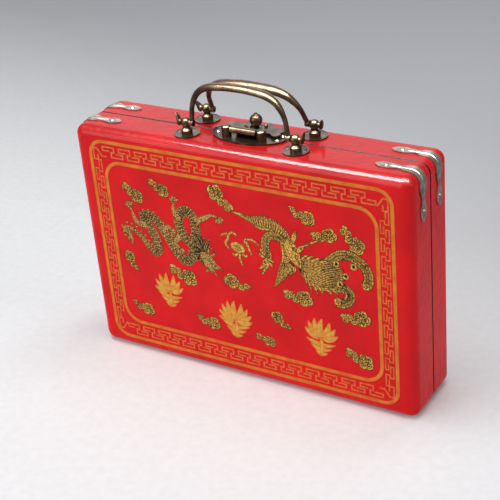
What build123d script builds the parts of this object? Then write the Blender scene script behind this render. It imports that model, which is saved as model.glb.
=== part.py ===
from build123d import *
import math
import os

# Lacquered two-shell tile case that stands on its bottom edge. X runs across the case, Y runs
# from the front face to the back face, Z is up. The seam between the shells is the plane Y = 0,
# the case stands on Z = 0, and the origin is in the middle of the underside. Millimetres.

FRONT, REAR = -1, 1
LEFT, RIGHT = -1, 1

# ---- Case shells
case_width = 330.0
case_height = 225.0
shell_depth = 35.5
seam_gap = 0.6
wall = 6.0
face_wall = 4.5
corner_radius = 9.5
face_edge_radius = 9.0
seam_edge_chamfer = 0.7
cavity_corner_radius = 3.5

# ---- Cloth lining of both shells
lining_thickness = 0.6
lining_gap = 0.05
lining_setback = 1.0

# ---- Butt hinges let into the underside
lid_opening_angle = 115.0
hinge_axis_height = 2.4
hinge_length = 44.0
hinge_inset = 70.0
hinge_barrel_radius = 2.0
hinge_pin_radius = 0.9
hinge_leaf_thickness = 0.9
hinge_leaf_reach = 14.0
hinge_leaf_gap = 1.0
hinge_knuckles = 3
hinge_knuckle_gap = 0.15
hinge_recess_clearance = 0.35
seam_groove_clearance = 0.5
pin_running_clearance = 0.05

# ---- Drawer cabinet in the rear shell
cabinet_gap = 0.35
pull_room = 2.85
cabinet_swing_clearance = 1.0
cabinet_board = 3.0
cabinet_back_board = 2.5
shelf_board = 2.0
shelf_groove_depth = 1.0
shelf_groove_clearance = 0.05
drawer_count = 5

# ---- Drawers
drawer_clearance = 0.35
drawer_front_board = 5.0
drawer_front_edge_chamfer = 0.8
drawer_side_board = 2.5
drawer_bottom_board = 2.0
drawer_rim_drop = 4.0
pull_shank_radius = 1.2
pull_shank_clearance = 0.05
pull_base_radius = 3.2
pull_stem_radius = 1.7
pull_stem_height = 2.6
pull_head_radius = 4.5
pull_head_height = 4.6
pull_crown_radius = 2.6
pull_crown_height = 6.0
pull_height = 6.5

# ---- Corner brackets of thin sheet
bracket_sheet = 0.9
bracket_seat_gap = 0.05
bracket_centre = 15.5
bracket_top_reach = 40.0
bracket_side_reach = 44.0
bracket_tip_flat = 1.4
bracket_leaf_width = 10.0
bracket_waist_width = 6.0
bracket_corner_width = 11.5
bracket_nail_setback = 9.5
bracket_waist_setback = 22.0
bracket_flare_setback = 32.0

# ---- Dome-headed nails with square shanks
nail_head_radius = 1.9
nail_crown_radius = 1.2
nail_crown_height = 0.9
nail_head_height = 1.1
nail_shank = 1.5
nail_shank_length = 4.5
nail_clearance = 0.05

# ---- Handle roses and posts
handle_spacing = 107.0
handle_offset = 16.5
rose_radius = 11.25
rose_rim_width = 1.8
rose_rim_height = 1.3
rose_dish_height = 0.9
post_shank_radius = 2.4
post_shank_depth = 4.5
post_shank_clearance = 0.05
post_collar_radius = 4.7
post_lip_radius = 5.2
post_lip_bottom = 4.6
post_lip_top = 6.1
post_neck_radius = 3.1
pivot_height = 10.8
post_ball_radius = 4.4
post_ball_flat = 3.9

# ---- Handles
handle_pin_radius = 1.6
handle_side_clearance = 0.2
handle_boss_radius = 2.9
handle_boss_width = 2.6
handle_leg_diameter = 4.2
handle_grip_width = 9.0
handle_grip_thickness = 6.6
handle_swell_start = 0.13
handle_swell_end = 0.42
handle_rise = 37.4
handle_knee_inset = 1.4
handle_knee_height = 13.0
handle_bend_inset = 5.9
handle_bend_height = 24.5
handle_shoulder_inset = 16.3
handle_shoulder_drop = 3.8
rear_handle_lean = 25.0
leaf_length = 8.0
leaf_width = 4.4

# ---- Latch
latch_half_length = 36.0
latch_reach = 21.0
latch_plate_thickness = 1.2
latch_plate_gap = 0.6
latch_rim_width = 1.5
latch_rim_height = 0.4
latch_nail_x = 29.0
latch_nail_y = 4.6
latch_post_x = 17.2
latch_post_y = 10.0
latch_post_radius = 4.2
latch_post_height = 10.8
latch_post_edge_chamfer = 0.9
latch_post_shank_radius = 1.8
latch_pin_radius = 1.2
latch_pin_height = 7.6
latch_pin_seat = 2.6
hasp_barrel_radius = 2.7
hasp_side_clearance = 0.3
hasp_sheet = 1.2
hasp_plate_bottom = 2.6
hasp_neck_landing = 0.5
hasp_fork_half_width = 5.0
hasp_fork_root = 4.2
hasp_prong_y = 18.6
hasp_prong_bow_x = 10.4
hasp_prong_bow_y = 19.4
hasp_cusp_x = 14.6
hasp_cusp_y = 15.2
hasp_cusp_bow_x = 17.4
hasp_cusp_bow_y = 13.2
hasp_shoulder_x = 20.6
hasp_shoulder_y = 14.0
hasp_lobe_bow_x = 26.6
hasp_lobe_bow_y = 13.0
hasp_lobe_x = 28.4
hasp_lobe_y = 7.4
hasp_waist_x = 27.3
hasp_waist_y = 4.6
hasp_wing_x = 28.8
hasp_wing_y = 2.0
hasp_wing_bow_x = 26.0
hasp_wing_bow_y = -2.6
hasp_notch_x = 20.6
hasp_notch_y = -0.6
hasp_notch_bow_x = 16.8
hasp_notch_bow_y = 1.0
knob_y = 11.0
knob_stud_radius = 2.0
knob_stud_depth = 4.0
knob_stud_clearance = 0.05
knob_flange_radius = 3.8
knob_flange_height = 1.0
knob_neck_radius = 2.6
knob_ball_radius = 4.5
knob_ball_height = 9.6
knob_button_radius = 1.3
knob_button_height = 1.2
knob_ear_half_length = 5.6
knob_ear_width = 3.0
knob_ear_bottom = 4.3
knob_ear_height = 2.0

# ---- Worked out from the driving dimensions
half_gap = seam_gap / 2
top = case_height
half_width = case_width / 2
cavity_depth = shell_depth - face_wall
cavity_half_width = half_width - wall
cavity_top = case_height - wall
lining_skin = lining_gap + lining_thickness
pivot_z = top + pivot_height
hinge_spacing = case_width - 2 * hinge_inset
cabinet_front_reach = cavity_depth - lining_skin - pull_height - pull_room
handle_foot_x = handle_spacing / 2 - post_ball_flat - handle_side_clearance
leg_foot_x = handle_foot_x - handle_leg_diameter / 2
pin_bore_radius = hinge_pin_radius + pin_running_clearance
nail_hole = nail_shank + 2 * nail_clearance
bracket_top_nail_x = half_width - bracket_top_reach + bracket_nail_setback
bracket_side_nail_z = top - bracket_side_reach + bracket_nail_setback

cabinet_half_width = cavity_half_width - lining_skin - cabinet_gap
cabinet_bottom_z = wall + lining_skin + cabinet_gap
cabinet_corner_radius = cavity_corner_radius - lining_skin - cabinet_gap
cabinet_back_y = cavity_depth - lining_skin
lid_swing_radius = cavity_top - lining_skin - hinge_axis_height - cabinet_swing_clearance
cabinet_top_z = hinge_axis_height + math.sqrt(lid_swing_radius**2 - cabinet_front_reach**2)
bay_floor_z = cabinet_bottom_z + cabinet_board
bay_half_width = cabinet_half_width - cabinet_board
bays_height = cabinet_top_z - cabinet_board - bay_floor_z
bay_height = (bays_height - (drawer_count - 1) * shelf_board) / drawer_count
bay_pitch = bay_height + shelf_board
drawer_half_width = bay_half_width - drawer_clearance
drawer_height = bay_height - 2 * drawer_clearance
bay_back_y = cabinet_back_y - cabinet_back_board

os.makedirs("parts", exist_ok=True)


def save(part, name):
    part.label = name
    export_step(part, f"parts/{name}.step")


def end_name(side):
    return "front" if side == FRONT else "rear"


def hand_name(hand):
    return "left" if hand == LEFT else "right"


# ---------------------------------------------------------------- shells
def seam_plane(side, depth):
    """A plane parallel to the seam, depth millimetres into one shell and facing its outer face."""
    return Plane(
        origin=(0, side * depth, case_height / 2), x_dir=(1, 0, 0), z_dir=(0, side, 0)
    )


def outward_edges(part, side):
    """The outline of the face of a shell that is furthest from the seam."""
    faces = part.faces().sort_by(Axis.Y)
    return (faces[0] if side == FRONT else faces[-1]).edges()


def seam_edges(part, side):
    """The outline of the face of a shell that lies along the seam."""
    faces = part.faces().sort_by(Axis.Y)
    return (faces[-1] if side == FRONT else faces[0]).edges()


def groove_half_width(height):
    """Half of the width that the V groove along the bottom of the seam has, this far below its top."""
    return height / math.tan(math.radians((180 - lid_opening_angle) / 2))


def hinge_swing_point(below_axis):
    """Where the leaf of a fully opened hinge passes, as (y, z) measured from the hinge axis."""
    angle = math.radians(lid_opening_angle)
    reach = hinge_barrel_radius + hinge_recess_clearance
    along = (below_axis - reach * math.cos(angle)) / math.sin(angle)
    return (reach * math.sin(angle) - along * math.cos(angle), -below_axis)


def make_shell(side):
    nail_row = side * bracket_centre
    handle_row = side * handle_offset
    latch_row = side * latch_nail_y
    with BuildPart() as shell:
        with BuildSketch(seam_plane(side, half_gap)):
            RectangleRounded(case_width, case_height, corner_radius)
        extrude(amount=shell_depth - half_gap)
        fillet(outward_edges(shell.part, side), face_edge_radius)
        chamfer(seam_edges(shell.part, side), seam_edge_chamfer)
        with BuildSketch(seam_plane(side, half_gap)):
            RectangleRounded(2 * cavity_half_width, case_height - 2 * wall, cavity_corner_radius)
        extrude(amount=cavity_depth - half_gap, mode=Mode.SUBTRACT)

        # V groove along the bottom of the seam, which lets the lid fold past square.
        groove_top = hinge_axis_height + seam_groove_clearance
        groove_foot = groove_half_width(groove_top + 1)
        with BuildSketch(Plane.YZ.offset(-half_width - 1)):
            Polygon((-groove_foot, -1), (groove_foot, -1), (0, groove_top), align=None)
        extrude(amount=case_width + 2, mode=Mode.SUBTRACT)

        # Barrel clearance and leaf recess of each hinge.
        leaf_top = hinge_axis_height - hinge_barrel_radius + hinge_leaf_thickness
        recess_reach = hinge_leaf_reach + hinge_recess_clearance
        recess_length = hinge_length + 2 * hinge_recess_clearance
        shoulder_y, shoulder_z = hinge_swing_point(-0.8)
        foot_y, foot_z = hinge_swing_point(hinge_axis_height + 1)
        for hand in (LEFT, RIGHT):
            start_x = hand * hinge_spacing / 2 - recess_length / 2
            with BuildSketch(Plane.YZ.offset(start_x)):
                with Locations((0, hinge_axis_height)):
                    Circle(hinge_barrel_radius + hinge_recess_clearance)
                    Polygon(
                        (-shoulder_y, shoulder_z),
                        (shoulder_y, shoulder_z),
                        (foot_y, foot_z),
                        (-foot_y, foot_z),
                        align=None,
                    )
                with Locations((0, leaf_top)):
                    Rectangle(
                        2 * recess_reach, 2 * leaf_top, align=(Align.CENTER, Align.MAX)
                    )
            extrude(amount=recess_length, mode=Mode.SUBTRACT)

        # Square pilot holes for the nails of the brackets and of the latch plate.
        with BuildSketch(Plane.XY.offset(top)):
            with Locations(
                (-bracket_top_nail_x, nail_row),
                (bracket_top_nail_x, nail_row),
                (-latch_nail_x, latch_row),
                (latch_nail_x, latch_row),
            ):
                Rectangle(nail_hole, nail_hole)
        extrude(amount=-nail_shank_length, mode=Mode.SUBTRACT)
        with BuildSketch(Plane.YZ.offset(-half_width)) as side_pilots:
            with Locations((nail_row, bracket_side_nail_z)):
                Rectangle(nail_hole, nail_hole)
        extrude(amount=nail_shank_length, mode=Mode.SUBTRACT)
        with BuildSketch(Plane.YZ.offset(half_width - nail_shank_length)):
            add(side_pilots.sketch_local)
        extrude(amount=nail_shank_length, mode=Mode.SUBTRACT)

        # Holes for the riveted shanks of the handle posts and of the latch.
        with Locations(*((hand * handle_spacing / 2, handle_row, top) for hand in (LEFT, RIGHT))):
            Hole(post_shank_radius + post_shank_clearance, depth=post_shank_depth)
        if side == FRONT:
            with Locations(*((hand * latch_post_x, -latch_post_y, top) for hand in (LEFT, RIGHT))):
                Hole(latch_post_shank_radius + post_shank_clearance, depth=post_shank_depth)
        else:
            with Locations((0, knob_y, top)):
                Hole(knob_stud_radius + knob_stud_clearance, depth=knob_stud_depth + 0.5)
    return shell.part


def make_lining(side):
    """Cloth-covered card that lines the cavity of one shell, floor and walls in one tray."""
    half = cavity_half_width - lining_gap
    height = case_height - 2 * (wall + lining_gap)
    depth = cavity_depth - lining_gap
    with BuildPart() as lining:
        with BuildSketch(seam_plane(side, lining_setback)):
            RectangleRounded(2 * half, height, cavity_corner_radius - lining_gap)
        extrude(amount=depth - lining_setback)
        with BuildSketch(seam_plane(side, lining_setback)):
            RectangleRounded(
                2 * (half - lining_thickness),
                height - 2 * lining_thickness,
                cavity_corner_radius - lining_skin,
            )
        extrude(amount=depth - lining_setback - lining_thickness, mode=Mode.SUBTRACT)
    return lining.part


# ---------------------------------------------------------------- hinges
def make_hinge_leaf(side, hand):
    """One leaf: the rear leaf has the outer knuckles, the front leaf the one between them."""
    centre_x = hand * hinge_spacing / 2
    pitch = hinge_length / hinge_knuckles
    first = 0 if side == REAR else 1
    leaf_bottom = hinge_axis_height - hinge_barrel_radius
    angle = math.radians(lid_opening_angle)
    swing_start = hinge_barrel_radius * (1 - math.cos(angle)) / math.sin(angle)
    plate_start = swing_start + hinge_leaf_gap
    with BuildPart() as leaf:
        with BuildSketch(Plane.XY.offset(leaf_bottom)):
            with Locations((centre_x, side * (plate_start + hinge_leaf_reach) / 2)):
                Rectangle(hinge_length, hinge_leaf_reach - plate_start)
        extrude(amount=hinge_leaf_thickness)
        for index in range(first, hinge_knuckles, 2):
            start_x = centre_x - hinge_length / 2 + index * pitch + hinge_knuckle_gap / 2
            with BuildSketch(Plane.YZ.offset(start_x)):
                with Locations((0, hinge_axis_height)):
                    Circle(hinge_barrel_radius)
                with Locations((side * plate_start / 2, leaf_bottom + hinge_leaf_thickness / 2)):
                    Rectangle(plate_start + 0.01, hinge_leaf_thickness)
                with Locations((0, hinge_axis_height)):
                    Circle(pin_bore_radius, mode=Mode.SUBTRACT)
            extrude(amount=pitch - hinge_knuckle_gap)
    return leaf.part


def make_hinge_pin(hand):
    with BuildPart() as pin:
        with BuildSketch(Plane.YZ.offset(hand * hinge_spacing / 2 - hinge_length / 2)):
            with Locations((0, hinge_axis_height)):
                Circle(hinge_pin_radius)
        extrude(amount=hinge_length)
    return pin.part


# ---------------------------------------------------------------- cabinet
def shelf_z(index):
    """Underside of the shelf above drawer bay number index, counted from 0 at the bottom."""
    return bay_floor_z + bay_height + index * bay_pitch


def make_cabinet_side(hand):
    inner = hand * bay_half_width
    outer = hand * cabinet_half_width
    with BuildPart() as board:
        with BuildSketch(Plane.XY.offset(cabinet_bottom_z)):
            with Locations(((inner + outer) / 2, (bay_back_y - cabinet_front_reach) / 2)):
                Rectangle(cabinet_board, bay_back_y + cabinet_front_reach)
        extrude(amount=cabinet_top_z - cabinet_bottom_z)
        outer_corners = board.edges().filter_by(Axis.Y).group_by(Axis.X)[0 if hand == LEFT else -1]
        fillet(outer_corners, cabinet_corner_radius)
        groove_x = inner + hand * (shelf_groove_depth / 2)
        for index in range(drawer_count - 1):
            with BuildSketch(Plane.XY.offset(shelf_z(index) - shelf_groove_clearance)):
                with Locations((groove_x, (bay_back_y - cabinet_front_reach) / 2)):
                    Rectangle(shelf_groove_depth, bay_back_y + cabinet_front_reach)
            extrude(amount=shelf_board + 2 * shelf_groove_clearance, mode=Mode.SUBTRACT)
    return board.part


def make_cabinet_board(bottom_z, thickness, half_length):
    with BuildPart() as board:
        with BuildSketch(Plane.XY.offset(bottom_z)):
            with Locations((0, (bay_back_y - cabinet_front_reach) / 2)):
                Rectangle(2 * half_length, bay_back_y + cabinet_front_reach)
        extrude(amount=thickness)
    return board.part


def make_cabinet_back():
    with BuildPart() as board:
        with BuildSketch(Plane.XY.offset(cabinet_bottom_z)):
            with Locations((0, (bay_back_y + cabinet_back_y) / 2)):
                Rectangle(2 * cabinet_half_width, cabinet_back_board)
        extrude(amount=cabinet_top_z - cabinet_bottom_z)
        fillet(board.edges().filter_by(Axis.Y), cabinet_corner_radius)
    return board.part


# ---------------------------------------------------------------- drawers
def drawer_bottom_z(index):
    return bay_floor_z + index * bay_pitch + drawer_clearance


def make_drawer_front(index):
    bottom_z = drawer_bottom_z(index)
    front_y = -cabinet_front_reach
    with BuildPart() as front:
        with BuildSketch(Plane.XY.offset(bottom_z)):
            with Locations((0, front_y + drawer_front_board / 2)):
                Rectangle(2 * drawer_half_width, drawer_front_board)
        extrude(amount=drawer_height)
        chamfer(front.faces().sort_by(Axis.Y)[0].edges(), drawer_front_edge_chamfer)
        with BuildSketch(Plane.XZ.offset(-front_y)):
            with Locations((0, bottom_z + drawer_height / 2)):
                Circle(pull_shank_radius + pull_shank_clearance)
        extrude(amount=-drawer_front_board, mode=Mode.SUBTRACT)
    return front.part


def make_drawer_tray(index):
    bottom_z = drawer_bottom_z(index)
    front_y = drawer_front_board - cabinet_front_reach
    back_y = bay_back_y - drawer_clearance
    height = drawer_height - drawer_rim_drop
    middle_y = (front_y + back_y) / 2
    with BuildPart() as tray:
        with BuildSketch(Plane.XY.offset(bottom_z)):
            with Locations((0, middle_y)):
                Rectangle(2 * drawer_half_width, back_y - front_y)
        extrude(amount=height)
        with BuildSketch(Plane.XY.offset(bottom_z + drawer_bottom_board)):
            with Locations((0, (front_y + back_y - drawer_side_board) / 2)):
                Rectangle(
                    2 * (drawer_half_width - drawer_side_board), back_y - drawer_side_board - front_y
                )
        extrude(amount=height, mode=Mode.SUBTRACT)
    return tray.part


def make_drawer_pull(index):
    """Turned brass knob; its profile is drawn with the axis along local Y and spun about it."""
    centre_z = drawer_bottom_z(index) + drawer_height / 2
    knob_plane = Plane(
        origin=(0, -cabinet_front_reach, centre_z), x_dir=(1, 0, 0), z_dir=(0, 0, 1)
    )
    with BuildPart() as pull:
        with BuildSketch(knob_plane):
            with BuildLine():
                Polyline(
                    (0, -pull_height),
                    (0, drawer_front_board),
                    (pull_shank_radius, drawer_front_board),
                    (pull_shank_radius, 0),
                    (pull_base_radius, 0),
                    (pull_stem_radius, -pull_stem_height),
                    (pull_head_radius, -pull_head_height),
                    (pull_crown_radius, -pull_crown_height),
                    close=True,
                )
            make_face()
        revolve(axis=Axis(knob_plane.origin, (0, 1, 0)))
    return pull.part


# ---------------------------------------------------------------- corner brackets
def bracket_half_outline(reach):
    """Half of a bracket arm, as (distance from its tip, half width) along the unrolled strip."""
    return (
        (bracket_nail_setback, bracket_leaf_width / 2),
        (bracket_waist_setback, bracket_waist_width / 2),
        (bracket_flare_setback, bracket_corner_width / 2),
        (reach + 2, bracket_corner_width / 2),
    )


def bracket_arm_face(reach):
    """The flat outline of one arm: a pointed leaf, a narrow waist and a flare to the corner."""
    leaf, waist, flare, end = bracket_half_outline(reach)
    with BuildSketch() as arm:
        with BuildLine():
            for side in (1, -1):
                Spline(
                    (0, side * bracket_tip_flat / 2),
                    (leaf[0], side * leaf[1]),
                    (waist[0], side * waist[1]),
                    (flare[0], side * flare[1]),
                    tangents=((1, side * 1.2), (1, 0)),
                )
                Line((flare[0], side * flare[1]), (end[0], side * end[1]))
            Line((0, -bracket_tip_flat / 2), (0, bracket_tip_flat / 2))
            Line((end[0], -end[1]), (end[0], end[1]))
        make_face()
    return arm.sketch


def make_corner_bracket(side, hand):
    """A strip bent round the corner of the case, then trimmed to the outline of each arm."""
    row = side * bracket_centre
    middle = bracket_seat_gap + bracket_sheet / 2
    tip_x = half_width - bracket_top_reach
    tip_z = top - bracket_side_reach
    top_arm = bracket_arm_face(bracket_top_reach)
    side_arm = bracket_arm_face(bracket_side_reach)
    half_band = bracket_corner_width / 2 + 1
    with BuildPart() as bracket:
        with BuildSketch(Plane.XZ.offset(-row - half_band)):
            with BuildLine():
                FilletPolyline(
                    (hand * tip_x, top + middle),
                    (hand * (half_width + middle), top + middle),
                    (hand * (half_width + middle), tip_z),
                    radius=corner_radius + middle,
                )
            trace(line_width=bracket_sheet)
        extrude(amount=2 * half_band)
        top_plane = Plane(origin=(hand * tip_x, row, 0), x_dir=(hand, 0, 0), z_dir=(0, 0, 1))
        with BuildSketch(top_plane):
            add(top_arm)
        extrude(amount=case_height + 10, mode=Mode.INTERSECT)
        side_plane = Plane(origin=(0, row, tip_z), x_dir=(0, 0, 1), z_dir=(hand, 0, 0))
        with BuildSketch(side_plane):
            add(side_arm)
        extrude(amount=half_width + 10, mode=Mode.INTERSECT)
        pilot_depth = 2 * bracket_sheet + 1
        with BuildSketch(Plane.XY.offset(top - 0.5)):
            with Locations((hand * bracket_top_nail_x, row)):
                Rectangle(nail_hole, nail_hole)
        extrude(amount=pilot_depth, mode=Mode.SUBTRACT)
        side_nail_plane = Plane(
            origin=(hand * (half_width - 0.5), row, bracket_side_nail_z),
            x_dir=(0, 1, 0),
            z_dir=(hand, 0, 0),
        )
        with BuildSketch(side_nail_plane):
            Rectangle(nail_hole, nail_hole)
        extrude(amount=pilot_depth, mode=Mode.SUBTRACT)
    return bracket.part


# ---------------------------------------------------------------- nails
def make_nail():
    """One nail standing on Z = 0: a low dome over a square shank."""
    with BuildPart() as nail:
        with BuildSketch(Plane.XZ):
            with BuildLine():
                Polyline(
                    (0, 0),
                    (nail_head_radius, 0),
                    (nail_crown_radius, nail_crown_height),
                    (0, nail_head_height),
                    close=True,
                )
            make_face()
        revolve(axis=Axis.Z)
        with BuildSketch(Plane.XY):
            Rectangle(nail_shank, nail_shank)
        extrude(amount=-nail_shank_length)
    return nail.part


def make_nails(side, nail):
    """All the dome nails of one shell: two through each bracket and two through the latch plate."""
    bracket_seat = bracket_seat_gap + bracket_sheet
    row = side * bracket_centre
    with BuildPart() as nails:
        with Locations(
            *(Location((hand * bracket_top_nail_x, row, top + bracket_seat)) for hand in (LEFT, RIGHT)),
            *(
                Location((hand * (half_width + bracket_seat), row, bracket_side_nail_z), (0, hand * 90, 0))
                for hand in (LEFT, RIGHT)
            ),
            *(
                Location((hand * latch_nail_x, side * latch_nail_y, top + latch_plate_thickness))
                for hand in (LEFT, RIGHT)
            ),
        ):
            add(nail)
    return nails.part


# ---------------------------------------------------------------- handles
def make_handle_rose(side, hand):
    """Dished washer under a handle post."""
    bore = post_shank_radius + post_shank_clearance
    centre = (hand * handle_spacing / 2, side * handle_offset, top)
    with BuildPart() as rose:
        with BuildSketch(Plane(origin=centre, x_dir=(1, 0, 0), z_dir=(0, -1, 0))):
            with BuildLine():
                Polyline(
                    (bore, 0),
                    (rose_radius, 0),
                    (rose_radius, rose_rim_height),
                    (rose_radius - rose_rim_width, rose_dish_height),
                    (bore, rose_dish_height),
                    close=True,
                )
            make_face()
        revolve(axis=Axis(centre, (0, 0, 1)))
    return rose.part


def make_handle_post(side, hand):
    """Turned post with a lipped collar and a ball that the handle turns in."""
    centre = (hand * handle_spacing / 2, side * handle_offset, top)
    neck_z = pivot_height - math.sqrt(post_ball_radius**2 - post_neck_radius**2)
    with BuildPart() as post:
        with BuildSketch(Plane(origin=centre, x_dir=(1, 0, 0), z_dir=(0, -1, 0))):
            with BuildLine():
                Polyline(
                    (post_neck_radius, neck_z),
                    (post_neck_radius, post_lip_top),
                    (post_lip_radius, post_lip_bottom),
                    (post_collar_radius, rose_dish_height),
                    (post_shank_radius, rose_dish_height),
                    (post_shank_radius, -post_shank_depth),
                    (0, -post_shank_depth),
                    (0, pivot_height + post_ball_radius),
                )
                ThreePointArc(
                    (0, pivot_height + post_ball_radius),
                    (post_ball_radius, pivot_height),
                    (post_neck_radius, neck_z),
                )
            make_face()
        revolve(axis=Axis(centre, (0, 0, 1)))
        # Flats where the handle's foot and its outer boss turn, and the bore between them.
        ball_centre = (centre[0], centre[1], pivot_z)
        for face in (-1, 1):
            flat_plane = Plane(
                origin=(centre[0] + face * post_ball_flat, centre[1], pivot_z), z_dir=(face, 0, 0)
            )
            with BuildSketch(flat_plane):
                Circle(post_ball_radius)
            extrude(amount=post_ball_radius, mode=Mode.SUBTRACT)
        with BuildSketch(Plane(origin=ball_centre, z_dir=(1, 0, 0))):
            Circle(handle_pin_radius + pin_running_clearance)
        extrude(amount=post_ball_radius, both=True, mode=Mode.SUBTRACT)
    return post.part


def swell(t):
    """How far the handle has swelled t of the way along its arch: 0 in the legs, 1 in the grip."""
    rise = (min(t, 1 - t) - handle_swell_start) / (handle_swell_end - handle_swell_start)
    rise = max(0, min(1, rise))
    return rise * rise * (3 - 2 * rise)


def make_handle(side, lean):
    """Bail handle: a swelling grip lofted along an arch, with a pin and a leaf tip at each foot."""
    up = (0, -math.sin(math.radians(lean)), math.cos(math.radians(lean)))
    normal = Vector(0, -up[2], up[1])
    frame = Plane(origin=(0, side * handle_offset, pivot_z), x_dir=(1, 0, 0), z_dir=normal)
    half_stations = (0, 0.13, 0.19, 0.24, 0.29, 0.35, 0.42)
    stations = [*half_stations, 0.5, *(1 - t for t in reversed(half_stations))]
    with BuildLine(frame) as arch:
        Spline(
            (-leg_foot_x, 0),
            (-leg_foot_x + handle_knee_inset, handle_knee_height),
            (-leg_foot_x + handle_bend_inset, handle_bend_height),
            (-leg_foot_x + handle_shoulder_inset, handle_rise - handle_shoulder_drop),
            (0, handle_rise),
            (leg_foot_x - handle_shoulder_inset, handle_rise - handle_shoulder_drop),
            (leg_foot_x - handle_bend_inset, handle_bend_height),
            (leg_foot_x - handle_knee_inset, handle_knee_height),
            (leg_foot_x, 0),
            tangents=((0.08, 1), (0.08, -1)),
        )
    with BuildPart() as handle:
        for t in stations:
            width = handle_leg_diameter + swell(t) * (handle_grip_width - handle_leg_diameter)
            thick = handle_leg_diameter + swell(t) * (handle_grip_thickness - handle_leg_diameter)
            along = arch.line % t
            with BuildSketch(Plane(origin=arch.line @ t, x_dir=normal.cross(along), z_dir=along)):
                Ellipse(thick / 2, width / 2)
        loft(ruled=True)
        for hand in (LEFT, RIGHT):
            inner_x = handle_foot_x - handle_boss_width - 1.2
            outer_x = handle_spacing / 2 + post_ball_flat + handle_side_clearance
            foot = Plane(
                origin=frame.from_local_coords((hand * inner_x, 0, 0)), x_dir=normal, z_dir=(hand, 0, 0)
            )
            with BuildSketch(foot):
                Circle(handle_boss_radius)
            extrude(amount=handle_foot_x - inner_x)
            with BuildSketch(foot):
                Circle(handle_pin_radius)
            extrude(amount=outer_x - inner_x + 1)
            with BuildSketch(foot.offset(outer_x - inner_x)):
                Circle(handle_boss_radius - 0.3)
            extrude(amount=handle_boss_width - 0.6)
            # Leaf-shaped tip that stands up outside the ball.
            with BuildSketch(frame) as leaf:
                with BuildLine():
                    root = outer_x + 0.1
                    crown = outer_x + handle_boss_width - 0.6
                    Line((hand * root, 0), (hand * crown, -1.2))
                    ThreePointArc(
                        (hand * crown, -1.2),
                        (hand * (crown + 2.3), leaf_length * 0.35),
                        (hand * (crown + 2.2), leaf_length),
                    )
                    ThreePointArc(
                        (hand * (crown + 2.2), leaf_length),
                        (hand * (root + 0.9), leaf_length * 0.55),
                        (hand * root, 0),
                    )
                make_face()
            extrude(amount=leaf_width / 2, both=True)
    return handle.part


# ---------------------------------------------------------------- latch
def make_latch_plate(side):
    """Half of an oval plate, with a raised rim round its curved edge."""
    with BuildPart() as plate:
        with BuildSketch(Plane.XY.offset(top)):
            Ellipse(latch_half_length, latch_reach)
            with Locations((0, side * (latch_plate_gap + latch_reach / 2))):
                Rectangle(2 * latch_half_length, latch_reach, mode=Mode.INTERSECT)
        extrude(amount=latch_plate_thickness)
        with BuildSketch(Plane.XY.offset(top + latch_plate_thickness)):
            Ellipse(latch_half_length, latch_reach)
            Ellipse(
                latch_half_length - latch_rim_width, latch_reach - latch_rim_width, mode=Mode.SUBTRACT
            )
            with Locations((0, side * (latch_plate_gap + latch_reach / 2))):
                Rectangle(2 * latch_half_length, latch_reach, mode=Mode.INTERSECT)
        extrude(amount=latch_rim_height)
        with BuildSketch(Plane.XY.offset(top)):
            with Locations(*((hand * latch_nail_x, side * latch_nail_y) for hand in (LEFT, RIGHT))):
                Rectangle(nail_hole, nail_hole)
            if side == FRONT:
                with Locations(*((hand * latch_post_x, -latch_post_y) for hand in (LEFT, RIGHT))):
                    Circle(latch_post_shank_radius + post_shank_clearance)
            else:
                with Locations((0, knob_y)):
                    Circle(knob_stud_radius + knob_stud_clearance)
        extrude(amount=latch_plate_thickness, mode=Mode.SUBTRACT)
    return plate.part


def make_latch_post(hand):
    with BuildPart() as post:
        with BuildSketch(Plane.XY.offset(top + latch_plate_thickness)):
            with Locations((hand * latch_post_x, -latch_post_y)):
                Circle(latch_post_radius)
        extrude(amount=latch_post_height - latch_plate_thickness)
        chamfer(post.edges().sort_by(Axis.Z)[-1], latch_post_edge_chamfer)
        with BuildSketch(Plane.XY.offset(top + latch_plate_thickness)):
            with Locations((hand * latch_post_x, -latch_post_y)):
                Circle(latch_post_shank_radius)
        extrude(amount=-(latch_plate_thickness + post_shank_depth))
        # Blind seat for the end of the hasp's pin.
        seat_x = latch_post_x - latch_post_radius + latch_pin_seat + pin_running_clearance
        seat_plane = Plane(
            origin=(hand * seat_x, -latch_post_y, top + latch_pin_height), z_dir=(-hand, 0, 0)
        )
        with BuildSketch(seat_plane):
            Circle(latch_pin_radius + pin_running_clearance)
        extrude(amount=latch_pin_seat + 1, mode=Mode.SUBTRACT)
    return post.part


def make_latch_pin():
    half_length = latch_post_x - latch_post_radius + latch_pin_seat
    with BuildPart() as pin:
        with BuildSketch(Plane(origin=(0, -latch_post_y, top + latch_pin_height), z_dir=(1, 0, 0))):
            Circle(latch_pin_radius)
        extrude(amount=half_length, both=True)
    return pin.part


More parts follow.
